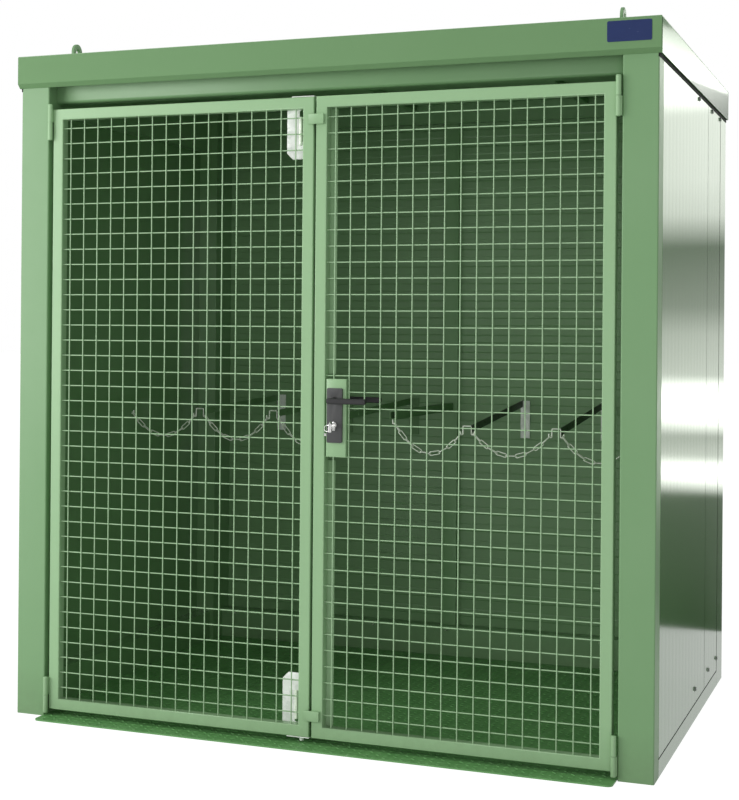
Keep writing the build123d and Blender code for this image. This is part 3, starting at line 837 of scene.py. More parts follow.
def joined(name: str, pieces: list[Piece]) -> Piece:
    """Put several plain pieces into one.

    Args:
        name: The new piece's name.
        pieces: Pieces with no modifiers; they are removed.

    Returns:
        The new piece.
    """
    shape = bmesh.new()
    for piece in pieces:
        shape.from_mesh(piece.data)
        bpy.data.objects.remove(piece)
    return piece_from(name, shape)


def rounded_bar(name: str, low: Point, high: Point, radius: float, steps: int = 2) -> Piece:
    """Make a closed block whose edges are all rounded.

    Args:
        name: The piece's name.
        low: Its lowest corner.
        high: Its highest corner.
        radius: Radius of its edges.
        steps: Faces across an edge.

    Returns:
        The piece.
    """
    size, centre = Vector(high) - Vector(low), (Vector(high) + Vector(low)) / 2
    place = Matrix.Translation(centre) @ Matrix.Diagonal((*size, 1.0))
    round_edge = {"offset": min(radius, min(size) * 0.49), "segments": steps, "profile": 0.5}
    shape = bmesh.new()
    bmesh.ops.create_cube(shape, size=1.0)
    bmesh.ops.transform(shape, matrix=place, verts=shape.verts)
    bmesh.ops.bevel(shape, geom=list(shape.edges), affect="EDGES", **round_edge)
    return piece_from(name, shape)


# Sub-assemblies


@dataclass
class DoorLeaf:
    """One door leaf: a mitred frame of square tube with a welded mesh and its barrel hinges."""

    body: Body
    side: int
    rods: Tree
    corner_radius: float = 3.2 * MM
    wire_radius: float = 2.0 * MM
    pitch: float = 50 * MM
    columns: int = 17
    rows: int = 38
    setback: float = 11 * MM
    rise: float = 4 * MM
    weld_sink: float = 0.3 * MM
    barrel_radius: float = 8 * MM
    barrel_length: float = 60 * MM
    dome: float = 3 * MM
    pin_place: float = 936 * MM
    pin_stand: float = 9 * MM
    plate_wall: float = 4 * MM
    plate_depth: float = 20 * MM
    hand: str = field(init=False)
    tubes: list[str] = field(init=False)
    low: Vector = field(init=False)
    high: Vector = field(init=False)

    def __post_init__(self) -> None:
        """Find the leaf's tubes, and the lowest and highest corner of its frame."""
        self.hand = "right" if self.side > 0 else "left"
        parts = ("hinge_stile", "meeting_stile", "bottom_rail", "top_rail")
        self.tubes = [f"{self.hand}_{part}" for part in parts]
        boxes = [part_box(tube) for tube in self.tubes]
        self.low = Vector([min(low[i] for low, _ in boxes) for i in range(3)])
        self.high = Vector([max(high[i] for _, high in boxes) for i in range(3)])

    def frame(self) -> None:
        """Build the frame as one mitred ring of square tube with ground welds."""
        low, high = self.low, self.high
        section = rounded_square((0, low.y), (high.y - low.y, high.y), self.corner_radius)
        corners = (
            (low.x, low.z, 1, 1),
            (high.x, low.z, -1, 1),
            (high.x, high.z, -1, -1),
            (low.x, high.z, 1, -1),
        )
        rings = [[(x + sx * a, y, z + sz * a) for a, y in section] for x, z, sx, sz in corners]
        piece = lofted(f"{self.hand}_leaf_frame", rings, closed=True)
        settle(piece, self.body, LEAF_COAT_PAINTED_SHEEN, *self.tubes)
        weigh_normals(piece)

    def wires(self) -> None:
        """Build the welded mesh of round wires, open where the lock box sits."""
        low, high = self.low, self.high
        tube = high.y - low.y
        left, right, bottom, top = low.x + tube, high.x - tube, low.z + tube, high.z - tube
        middle_x, middle_z = (low.x + high.x) / 2, (low.z + high.z) / 2 + self.rise
        reach = self.wire_radius - self.weld_sink
        front_y, rear_y = low.y + self.setback - reach, low.y + self.setback + reach
        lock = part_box("lock_box") if self.body is Body.RIGHT_LEAF else None
        lines = []
        for column in range(self.columns):
            x = middle_x + (column - (self.columns - 1) / 2) * self.pitch
            spans = [(bottom, top)]
            if lock and lock[0].x < x < lock[1].x:
                spans = [(bottom, lock[0].z), (lock[1].z, top)]
            lines += [[(x, front_y, a), (x, front_y, b)] for a, b in spans]
        for row in range(self.rows):
            z = middle_z + (row - (self.rows - 1) / 2) * self.pitch
            start = lock[1].x if lock and lock[0].z < z < lock[1].z else left
            lines.append([(start, rear_y, z), (right, rear_y, z)])
        seed = lines_mesh(f"{self.hand}_mesh_wires", lines)
        halves = (f"{self.hand}_mesh_lower", f"{self.hand}_mesh_upper")
        grow(seed, self.rods, rod_sizes(self.wire_radius, 10), self.body, WIRE_COAT, *halves)

    def hinges(self) -> None:
        """Build the upper barrels, which turn on the leaf, and the lower ones, which hold the pins."""
        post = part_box("front_post_right")[0]
        barrels = f"hinge_barrels_{self.hand}"
        radius, length, dome = self.barrel_radius, self.barrel_length, self.dome
        bottom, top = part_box(barrels)[0].z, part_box(barrels)[1].z - length
        leaf_edge = self.high.x if self.side > 0 else -self.low.x
        front_y, rear_y = post.y - self.pin_stand, post.y + self.plate_depth
        profile = [
            (radius - 0.8 * MM, 0.3 * MM),
            (radius, 1.0 * MM),
            (radius, length - dome),
            (radius * 0.9, length - dome * 0.45),
            (radius * 0.62, length - dome * 0.12),
            (radius * 0.2, length),
        ]
        for index, height in enumerate((bottom, top)):
            for part, body, up, near, node in (
                ("barrel", self.body, 1, leaf_edge, barrels),
                ("socket", Body.CABIN, -1, post.x - self.plate_wall, "hinge_sockets"),
            ):
                name = f"hinge_{part}_{self.hand}_{index}"
                place = (self.side * self.pin_place, front_y, height)
                barrel = lathed(f"{name}_round", place, [(r, up * h) for r, h in profile], Along.Z)
                x_low, x_high = sorted((self.side * near, self.side * (near + self.plate_wall)))
                z_low, z_high = sorted((height + up * 0.5 * MM, height + up * (length - dome)))
                corners = (x_low, front_y, z_low), (x_high, rear_y, min(z_high, self.high.z))
                piece = joined(name, [barrel, rounded_bar(f"{name}_plate", *corners, 0.8 * MM)])
                settle(piece, body, LEAF_COAT_PAINTED_SHEEN, node)
                weigh_normals(piece)

    def build(self) -> None:
        """Build the leaf."""
        self.frame()
        self.wires()
        self.hinges()


@dataclass
class MeetingFittings:
    """What sits where the leaves meet: stop tabs, rebate strip and the bolt plates with their bolts."""

    nodes: dict
    edge: float = 1.2 * MM
    bolt_radius: float = 6 * MM
    bolt_ends: Pair = (60 * MM, 150 * MM)
    bolt_place: Pair = (46 * MM, 36 * MM)

    def build(self) -> None:
        """Soften and dress the fittings, then put the bolts behind their plates."""
        for node, body, finish in (
            ("stop_tabs", Body.RIGHT_LEAF, LEAF_COAT_PAINTED_SHEEN),
            ("rebate_strip", Body.LEFT_LEAF, LEAF_COAT_PAINTED_SHEEN),
            ("bolt_plate_top", Body.LEFT_LEAF, DIPPED),
            ("bolt_plate_bottom", Body.LEFT_LEAF, DIPPED),
        ):
            settle(softened(self.nodes[node], self.edge), body, finish, node)
        for node, up in (("bolt_plate_top", -1), ("bolt_plate_bottom", 1)):
            self.bolt(node, up)

    def bolt(self, node: str, up: int) -> None:
        """Build a bolt's rod, seen through the plate's slot.

        Args:
            node: The bolt plate's node.
            up: Which way the bolt draws back.
        """
        low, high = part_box(node)
        start = high.z if up < 0 else low.z
        bottom, top = sorted(start + up * end for end in self.bolt_ends)
        thick, thin, edge = self.bolt_radius, self.bolt_radius - 0.8 * MM, 1 * MM
        profile = [(thin, bottom), (thick, bottom + edge), (thick, top - edge), (thin, top)]
        place = (low.x + self.bolt_place[0], low.y + self.bolt_place[1], 0.0)
        rod = lathed(f"{node}_bolt_rod", place, profile, Along.Z)
        settle(rod, Body.LEFT_LEAF, ZINC)
        weigh_normals(rod)


@dataclass
class LockSet:
    """Lock box, handle plates, lever and the profile cylinder with its keys."""

    nodes: dict
    rods: Tree
    plate_edge: float = 3.0 * MM
    case_edge: float = 1.5 * MM
    case_gap: float = 5 * MM
    neck_radius: float = 10 * MM
    spindle_radius: float = 5 * MM
    grip_height: float = 19 * MM
    grip_depth: float = 13 * MM
    grip_reach: float = 118 * MM
    ring_radius: float = 10 * MM
    ring_wire: float = 1.1 * MM
    ring_steps: int = 28
    key_height: float = 997 * MM
    # Share of the grip's reach, then shares of its height and depth there
    grip_sections: tuple = (
        ((-0.055, 0.62, 0.70), (-0.02, 0.90, 0.92), (0.05, 1.0, 1.0), (0.3, 0.97, 0.98))
        + ((0.6, 0.93, 0.95), (0.9, 0.96, 0.97), (0.97, 0.9, 0.9), (1.0, 0.62, 0.62))
    )

    def build(self) -> None:
        """Build the whole lock set."""
        low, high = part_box("lock_box")
        case = rounded_bar("lock_case", (low.x + self.case_gap, low.y, low.z), tuple(high), self.case_edge)
        settle(case, Body.RIGHT_LEAF, LEAF_COAT_PAINTED_SHEEN, "lock_box")
        plates = softened(self.nodes["handle_plates"], self.plate_edge, 3)
        settle(plates, Body.RIGHT_LEAF, PLATE_PLASTIC, "handle_plates")
        self.lever()
        self.cylinder()

    def lever(self) -> None:
        """Build both grips and the spindle: a round neck that bends into a flat tapered grip."""
        low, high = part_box("lever_handle")
        plate_low, plate_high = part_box("handle_plates")
        axis = (low.x + self.neck_radius, (low.z + high.z) / 2)
        pieces = []
        for end, face, out in ((low.y, plate_low.y - 1 * MM, -1), (high.y, plate_high.y + 1 * MM, 1)):
            reach = abs(end - face)
            profile = (
                (1.0, 0.0),
                (1.0, 3 * MM),
                (0.86, 6 * MM),
                (0.82, 30 * MM),
                (0.92, reach - 10 * MM),
                (0.9, reach - 3 * MM),
                (0.55, reach),
            )
            turned = [(self.neck_radius * wide, out * along) for wide, along in profile]
            pieces.append(lathed(f"lever_neck_{out}", (axis[0], face, axis[1]), turned, Along.Y))
            pieces.append(self.grip(f"lever_grip_{out}", axis, end, out))
        ends = [(self.spindle_radius, plate_low.y - 2 * MM), (self.spindle_radius, plate_high.y + 2 * MM)]
        pieces.append(lathed("lever_spindle", (axis[0], 0.0, axis[1]), ends, Along.Y, 12))
        piece = joined("lever_grips", pieces)
        settle(piece, Body.LEVER, GRIP_PLASTIC, "lever_handle")
        weigh_normals(piece)

    def grip(self, name: str, axis: Pair, end_y: float, out: int) -> Piece:
        """Loft one grip from its round shoulder to its blunt tip.

        Args:
            name: The piece's name.
            axis: Place and height of the spindle.
            end_y: The grip's outermost plane.
            out: Which way is outwards.

        Returns:
            The piece.
        """
        y = end_y - out * self.grip_depth / 2
        rings = []
        for share, tall, deep in self.grip_sections:
            half_y, half_z = self.grip_depth / 2 * deep, self.grip_height / 2 * tall
            corner = min(half_y, half_z) * 0.8
            outline = rounded_square((-half_y, -half_z), (half_y, half_z), corner, 3)
            rings.append([(axis[0] + share * self.grip_reach, y + a, axis[1] + b) for a, b in outline])
        return lofted(name, rings)

    def cylinder(self) -> None:
        """Dress the profile cylinder and hang a ring with a second key on its key."""
        settle(softened(self.nodes["lock_cylinder"], 0.5 * MM), Body.RIGHT_LEAF, CHROME, "lock_cylinder")
        low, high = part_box("lock_cylinder")
        hole = Vector(((low.x + high.x) / 2, low.y + 6 * MM, self.key_height))
        centre = hole + Vector((-self.ring_radius, 0, -self.ring_radius))
        ring = []
        for step in range(self.ring_steps + 1):
            angle = 2 * math.pi * step / self.ring_steps
            # The ring leans a little towards the viewer
            way = Vector((math.cos(angle) * 0.94, math.cos(angle) * -0.34, math.sin(angle)))
            ring.append(tuple(centre + self.ring_radius * way))
        sizes = rod_sizes(self.ring_wire, 8)
        grow(lines_mesh("key_ring", [ring]), self.rods, sizes, Body.RIGHT_LEAF, CHROME)
        key_y = low.y - 1 * MM
        spare_z = centre.z - self.ring_radius
        main = rounded_bar(
            "main_key",
            (hole.x - 4 * MM, key_y, hole.z - 22 * MM),
            (hole.x + 6 * MM, low.y + 2 * MM, hole.z + 5 * MM),
            1.2 * MM,
        )
        spare = rounded_bar(
            "spare_key",
            (hole.x - 17 * MM, key_y, spare_z - 13 * MM),
            (hole.x - 11 * MM, key_y + 2 * MM, spare_z - 5 * MM),
            0.8 * MM,
        )
        keys = joined("keys", [main, spare])
        settle(keys, Body.RIGHT_LEAF, CHROME)
        weigh_normals(keys)


@dataclass
class CylinderRacks:
    """Arms with bows, hooks and chains that hold the cylinders against the rear wall."""

    nodes: dict
    rods: Tree
    links: Tree
    arm_shares: tuple = (-0.362, -0.2205, -0.0867, 0.129, 0.2786, 0.419)
    body_width: float = 2100 * MM
    left_count: int = 3
    left_foot: float = 962 * MM
    right_foot: float = 928 * MM
    bow_width: float = 35 * MM
    bow_height: float = 30 * MM
    bow_bend: float = 3.5 * MM
    wire: float = 5 * MM
    hook_gap: float = 6 * MM
    hook_tip: float = 10 * MM
    wall_hook: float = 966 * MM
    rail_hook: float = 958 * MM
    link_length: float = 44 * MM
    link_width: float = 16 * MM
    link_wire: float = 3.8 * MM
    link_play: float = 1.2 * MM
    link_seat: float = 0.3 * MM
    full_links: int = 9
    wall_links: int = 5
    shade_painted_from: float = 200 * MM
    bracket_reach: float = 60 * MM

    def arms(self) -> list[float]:
        """Places of the arms across the cabin."""
        return [share * self.body_width for share in self.arm_shares]

    def bars(self) -> None:
        """Cut the flat bars out of the arms' node: green ones on the left, and on the right ones darkened
        with painted shade.
        """
        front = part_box("chain_arms")[0].y + self.wire
        # Painted shade: the bars on the right get a darkened green for the shade they lie in
        for name, finish in (("green", BAR_PAINT), ("dark", ARM_PAINTED_SHADE)):
            shape = merged(self.nodes["chain_arms"])
            left_out = [
                f
                for f in shape.faces
                if all(v.co.y < front + 0.1 * MM for v in f.verts)
                or (f.calc_center_median().x < self.shade_painted_from) == (name == "dark")
            ]
            bmesh.ops.delete(shape, geom=left_out, context="FACES")
            bmesh.ops.holes_fill(shape, edges=[e for e in shape.edges if e.is_boundary])
            piece = piece_from(f"arm_bars_{name}", shape, turn_out=True)
            settle(piece, Body.CABIN, finish, "chain_arms", smooth=False)

    def brackets(self) -> None:
        """Leave the brackets bare, but give those of the second and third arm a green of painted shade, so
        that they don't show as light plates in the shade at the rear wall.
        """
        painted = self.arms()[1:3]
        # Painted shade: two brackets get green in place of bare zinc, so that they stay as dark as the shade
        # round them
        for name, finish in (("bare", DIPPED), ("painted", BRACKET_PAINTED_SHADE)):
            shape = merged(self.nodes["arm_brackets"], flat=False)
            left_out = []
            for face in shape.faces:
                x = face.calc_center_median().x
                if any(abs(x - place) < self.bracket_reach for place in painted) == (name == "bare"):
                    left_out.append(face)
            bmesh.ops.delete(shape, geom=left_out, context="FACES")
            piece = piece_from(f"arm_brackets_{name}", shape)
            settle(piece, Body.CABIN, finish, "arm_brackets", smooth=False)

    def bows(self) -> None:
        """Bend the bows, their hooks and the hooks on the walls and the rail from round wire."""
        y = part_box("chain_arms")[0].y + self.wire / 2
        half_wire = self.wire / 2
        stub = self.hook_gap + half_wire
        leg, reach = self.bow_width / 2 - half_wire, self.bow_width / 2 + stub
        lines = []
        for index, place in enumerate(self.arms()):
            foot = self.left_foot if index < self.left_count else self.right_foot
            top, low, tip = foot + self.bow_height - half_wire, foot - half_wire, foot + self.hook_tip
            bow = [(-reach, tip), (-reach, low), (-leg, low), (-leg, top)]
            bow += [(-x, z) for x, z in reversed(bow)]
            # No chain hangs from the right foot of the last bow on the left
            bow = bow[:-2] if index == self.left_count - 1 else bow
            lines.append([(place + x, y, z) for x, z in bow])
        sizes = rod_sizes(half_wire, 12, self.bow_bend, 4)
        grow(lines_mesh("arm_bows", lines), self.rods, sizes, Body.CABIN, ZINC, "chain_arms")
        wall, rail_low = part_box("side_wall_right")[0].x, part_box("centre_rail")[0].z
        hooks = []
        for start, height, side in ((-wall, self.wall_hook, 1), (wall, self.right_foot, -1)):
            end, low = start + side * stub, height - half_wire
            hooks.append([(start, y, low), (end, y, low), (end, y, height + self.hook_tip)])
        low = self.rail_hook - half_wire
        tip = self.rail_hook + self.hook_tip
        rail = [(-half_wire, rail_low), (-half_wire, low), (stub, low), (stub, tip)]
        hooks.append([(x, y, z) for x, z in rail])
        seed = lines_mesh("chain_hook_wires", hooks)
        grow(seed, self.rods, sizes, Body.CABIN, ZINC, "chain_hooks")

    def hanging_line(self, start: Pair, end: Pair, length: float) -> list[Pair]:
        """Points of a hanging line of a given length between two ends.

        Args:
            start: Place and height of one end.
            end: Place and height of the other.
            length: Length of the line.

        Returns:
            Evenly spread points in place and height.
        """
        steps, halvings = 200, 30
        low_sag, high_sag = 0.0, length
        points: list[Pair] = []
        for _ in range(halvings):
            sag = (low_sag + high_sag) / 2
            points = []
            for step in range(steps + 1):
                share = step / steps
                x, z = (start[i] + share * (end[i] - start[i]) for i in (0, 1))
                points.append((x, z - 4 * sag * share * (1 - share)))
            run = sum(math.dist(a, b) for a, b in zip(points, points[1:]))
            low_sag, high_sag = (sag, high_sag) if run < length else (low_sag, sag)
        return points

    def span(self, start: Pair, end: Pair, count: int) -> list[tuple[Point, Point]]:
        """Place and turn of each link of one span.

        Args:
            start: Place and height of the first hook's seat.
            end: Place and height of the last hook's seat.
            count: Number of links.

        Returns:
            A point and an Euler turn for each link.
        """
        pitch = self.link_length - 2 * self.link_wire - self.link_play
        reach = self.link_length - self.link_wire
        line = self.hanging_line(start, end, (count - 1) * pitch + reach)
        runs = [0.0]
        for a, b in zip(line, line[1:]):
            runs.append(runs[-1] + math.dist(a, b))

        def at(distance: float) -> Pair:
            """Point of the line at a distance along it."""
            index = next((i for i in range(1, len(runs) - 1) if runs[i] >= distance), len(runs) - 1)
            share = (distance - runs[index - 1]) / (runs[index] - runs[index - 1])
            a, b = line[index - 1], line[index]
            return a[0] + share * (b[0] - a[0]), a[1] + share * (b[1] - a[1])

        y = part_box("chain_arms")[0].y + self.wire / 2
        places = []
        for index in range(count):
            near, far = at(index * pitch), at(index * pitch + reach)
            slope = math.atan2(far[1] - near[1], far[0] - near[0])
            roll = Matrix.Rotation(math.pi / 2 * (index % 2), 3, "X")
            turn = (Matrix.Rotation(-slope, 3, "Y") @ roll).to_euler()
            places.append((((near[0] + far[0]) / 2, y, (near[1] + far[1]) / 2), tuple(turn)))
        return places

    def chains(self) -> None:
        """Hang both chains."""
        wall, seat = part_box("side_wall_right")[0].x, self.hook_gap / 2
        rise = self.link_wire / math.sqrt(2) + self.link_seat
        reach = self.bow_width / 2 + seat
        arms = self.arms()
        left, right = arms[: self.left_count], arms[self.left_count :]
        last = (wall - seat, self.right_foot)
        sizes = {"Length": self.link_length, "Width": self.link_width, "Wire": self.link_wire}
        for node, first, bows, foot, ends in (
            ("chain_left", (-wall + seat, self.wall_hook), left, self.left_foot, []),
            ("chain_right", (seat, self.rail_hook), right, self.right_foot, [last]),
        ):
            seats = [first] + [(place + side * reach, foot) for place in bows for side in (-1, 1)] + ends
            hung = [(x, z + rise) for x, z in seats]
            hanging: list[tuple[Point, Point]] = []
            for start, end in zip(hung[::2], hung[1::2]):
                to_wall = end[0] == last[0]
                hanging += self.span(start, end, self.wall_links if to_wall else self.full_links)
            places, turns = [place for place, _ in hanging], [turn for _, turn in hanging]
            seed = points_mesh(f"{node}_links", places, Turned.BY_ANGLES, turns)
            grow(seed, self.links, sizes, Body.CABIN, ZINC, node)

    def build(self) -> None:
        """Build the racks."""
        self.bars()
        self.bows()
        self.chains()
        self.brackets()


@dataclass
class Cabin:
    """The cabin itself: posts, walls, roof with its fascias, lugs, and the tread plate floor."""

    nodes: dict
    stud: Tree
    screw: Tree
    lip_height: float = 14 * MM
    lip_depth: float = 13 * MM
    fascia_wall: float = 1.8 * MM
    post_radius: float = 4.5 * MM
    rear_post_radius: float = 2 * MM
    post_wall: float = 3 * MM
    stud_pitch: float = 28 * MM
    stud_margin: float = 14 * MM
    stud_length: float = 12 * MM
    stud_width: float = 4.5 * MM
    stud_height: float = 1.6 * MM
    rib_pitch: float = 70 * MM
    rib_flat: float = 17 * MM
    rib_foot: float = 22 * MM
    rib_margin: float = 20 * MM
    rib_rise: float = 0.1 * MM
    fascia_shadow_height: float = 10 * MM
    joint_place: float = 318 * MM
    screw_places_y: tuple = (85 * MM, 415 * MM, 635 * MM)
    screw_low: float = 105 * MM
    screw_high: float = 2066 * MM
    screw_sink: float = 1.2 * MM
    rear_screws: int = 7
    rear_margin: float = 60 * MM
    plate_low: Pair = (903 * MM, 2121 * MM)
    plate_high: Pair = (1031 * MM, 2181 * MM)

    def walls(self) -> None:
        """Fold the side walls' sheets with ribs so shallow that they show as fine double lines."""
        for node, side in (("side_wall_right", 1), ("side_wall_left", -1)):
            low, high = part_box(node)
            length = high.y - low.y
            count = int((length - 2 * self.rib_margin) / self.rib_pitch)
            line = [(0.0, 0.0)]
            for index in range(count):
                middle = length / 2 + (index - (count - 1) / 2) * self.rib_pitch
                line += [(middle - self.rib_foot, 0.0), (middle - self.rib_flat, self.rib_rise)]
                line += [(middle + self.rib_flat, self.rib_rise), (middle + self.rib_foot, 0.0)]
            line.append((length, 0.0))
            edge = high.x if side > 0 else -low.x
            outer, inner = edge - self.rib_rise, edge - (high.x - low.x)
            corners = ((outer, low.z), (outer, high.z), (inner, high.z), (inner, low.z))
            rings = [[(side * (x + out), low.y + along, z) for x, z in corners] for along, out in line]
            settle(lofted(f"{node}_sheet", rings), Body.CABIN, WALL, node, smooth=False)

    def fascia(self) -> None:
        """Fold the front fascia, whose foot has a slanted lip under the roof's edge."""
        low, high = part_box("fascia_front")
        foot = low.z + 1 * MM
        rings = []
        for y, z in (
            (low.y, high.z),
            (low.y, low.z + self.lip_height),
            (low.y + self.lip_depth, foot),
            (high.y, low.z),
        ):
            inner = (y + self.fascia_wall, z + (self.fascia_wall if z < foot else 0.0))
            rings.append([(low.x, y, z), (high.x, y, z), (high.x, *inner), (low.x, *inner)])
        piece = lofted("fascia_front_folded", rings)
        settle(piece, Body.CABIN, FRONT_COAT, "fascia_front", smooth=False)

    def seals_and_painted_shadow(self) -> None:
        """Lay the dark strips: painted shadow under the side fascias, for the shaded gap there, and sealing
        strips down the sheets' joints.
        """
        low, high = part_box("side_wall_right")
        fascia_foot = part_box("fascias_side")[0].z
        front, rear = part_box("front_post_right")[0].y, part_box("rear_post_right")[1].y
        pieces = []
        for side in (-1, 1):
            for start, end, bottom, top, out in (
                # Painted shadow: this first strip stands for the shaded gap below the side fascia's fold
                (front, rear, fascia_foot - self.fascia_shadow_height, fascia_foot, 1.5),
                (high.y - 2.5 * MM, high.y + 1.0 * MM, low.z, fascia_foot, 0.4),
                (low.y, high.y, low.z - 1.0 * MM, low.z + 3.0 * MM, 0.4),
                (self.joint_place, self.joint_place + 1.2 * MM, low.z, fascia_foot, 0.3),
            ):
                x_low, x_high = sorted((side * (high.x - 3 * MM), side * (high.x + out * MM)))
                corners = (x_low, start, bottom), (x_high, end, top)
                pieces.append(rounded_bar("seal", *corners, 0.2 * MM, 1))
        settle(joined("sealing_strips_and_painted_shadow", pieces), Body.CABIN, RUBBER_AND_PAINTED_SHADOW, smooth=False)

    def posts(self) -> None:
        """Build the corner posts as folded sheet with round folds."""
        for node, radius, finish in (
            ("front_post_left", self.post_radius, COAT),
            ("front_post_right", self.post_radius, COAT),
            ("rear_post_left", self.rear_post_radius, FASCIA),
            ("rear_post_right", self.rear_post_radius, FASCIA),
        ):
            low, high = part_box(node)
            wall, inner_radius = self.post_wall, max(radius - self.post_wall, 0.3 * MM)
            outer = rounded_square((low.x, low.y), (high.x, high.y), radius)
            inner_low, inner_high = (low.x + wall, low.y + wall), (high.x - wall, high.y - wall)
            inner = rounded_square(inner_low, inner_high, inner_radius)
            ends = ((outer, low.z), (outer, high.z), (inner, high.z), (inner, low.z))
            piece = lofted(f"{node}_folded", [[(x, y, z) for x, y in ring] for ring, z in ends], closed=True)
            settle(piece, Body.CABIN, finish, node)
            weigh_normals(piece)

    def shell(self) -> None:
        """Break the edges of the roof, its fascias and the rails."""
        for node, width, finish in (
            ("roof_panel", 1.0, COAT),
            ("lintel", 0.8, COAT),
            ("fascia_rear", 0.8, COAT),
            ("fascias_side", 0.8, FASCIA),
            ("lifting_lugs", 1.5, COAT),
            ("centre_rail", 1.2, RAIL_PAINT),
            ("roof_ribs", 1.5, COAT),
            ("rear_post_centre", 1.2, COAT),
        ):
            settle(softened(self.nodes[node], width * MM), Body.CABIN, finish, node)

    def studs(self) -> None:
        """Cover the floor and the threshold with raised studs, every other one turned."""
        low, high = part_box("floor_plate")
        post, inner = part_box("front_post_right"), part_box("rear_post_right")[0]
        margin, pitch = self.stud_margin, self.stud_pitch
        top = high.z - 0.2 * MM
        places, turns = [], []
        for row in range(int((high.y - low.y) / pitch)):
            for column in range(int((high.x - low.x) / pitch)):
                x, y = low.x + (column + 0.5) * pitch, low.y + (row + 0.5) * pitch
                beside_tongue = abs(x) > post[0].x - margin and y < post[1].y + margin
                in_notch = abs(x) > inner.x - margin and y > inner.y - margin
                if not beside_tongue and not in_notch:
                    places.append((x, y, top))
                    turns.append((0.0, 0.0, math.radians(45 if (row + column) % 2 else -45)))
        sizes = {"Length": self.stud_length, "Width": self.stud_width, "Height": self.stud_height}
        seed = points_mesh("tread_studs", places, Turned.BY_ANGLES, turns)
        grow(seed, self.stud, sizes, Body.CABIN, TREAD)

    def screws(self) -> None:
        """Drive the screws that hold the wall sheets, and show the lower tips inside."""
        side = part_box("side_wall_right")[1].x - self.screw_sink
        rear_low, rear_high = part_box("rear_wall")
        half, rear = rear_high.x - self.rear_margin, rear_high.y - self.screw_sink
        across = [-half + 2 * half * i / (self.rear_screws - 1) for i in range(self.rear_screws)]
        places, facings = [], []
        for z in (self.screw_low, self.screw_high):
            for y in self.screw_places_y:
                places += [(side, y, z), (-side, y, z)]
                facings += [(1.0, 0.0, 0.0), (-1.0, 0.0, 0.0)]
            places += [(x, rear, z) for x in across]
            facings += [(0.0, 1.0, 0.0)] * len(across)
        sizes = {
            "Head radius": 6.8 * MM,
            "Head height": 5 * MM,
            "Washer radius": 11 * MM,
            "Washer height": 1.4 * MM,
        }
        seed = points_mesh("wall_screws", places, Turned.TO_FACE, facings)
        grow(seed, self.screw, sizes, Body.CABIN, SCREW)
        profile = [(0.6 * MM, -14 * MM), (2.4 * MM, -9 * MM), (2.6 * MM, 1 * MM)]
        inside = rear_low.y - 60 * MM
        tips = [lathed("screw_tip", (x, inside, self.screw_low), profile, Along.Y, 8) for x in across]
        settle(joined("screw_tips", tips), Body.CABIN, ZINC)

    def plate(self) -> None:
        """Put a blank plate on the fascia, where such cabins carry one."""
        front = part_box("fascia_front")[0].y
        outline = rounded_square(self.plate_low, self.plate_high, 5 * MM, 5)
        rings = [[(x, y, z) for x, z in outline] for y in (front + 0.2 * MM, front - 1.2 * MM)]
        piece = lofted("blank_plate", rings)
        break_edges(piece, 0.5 * MM, 2, 60, harden=False)
        settle(piece, Body.CABIN, NAMEPLATE, smooth=False)

    def plain_nodes(self) -> None:
        """Give every node that still shows its finish."""
        finishes = {"floor_plate": TREAD, "base_rails_side": FASCIA, "rear_wall": INNER_WALL}
        for name, node in self.nodes.items():
            node.data.materials.clear()
            node.data.materials.append(finishes.get(name, COAT).material())

    def build(self) -> None:
        """Build the cabin."""
        self.plain_nodes()
        self.posts()
        self.walls()
        self.fascia()
        self.seals_and_painted_shadow()
        self.shell()
        self.studs()
        self.screws()
        self.plate()


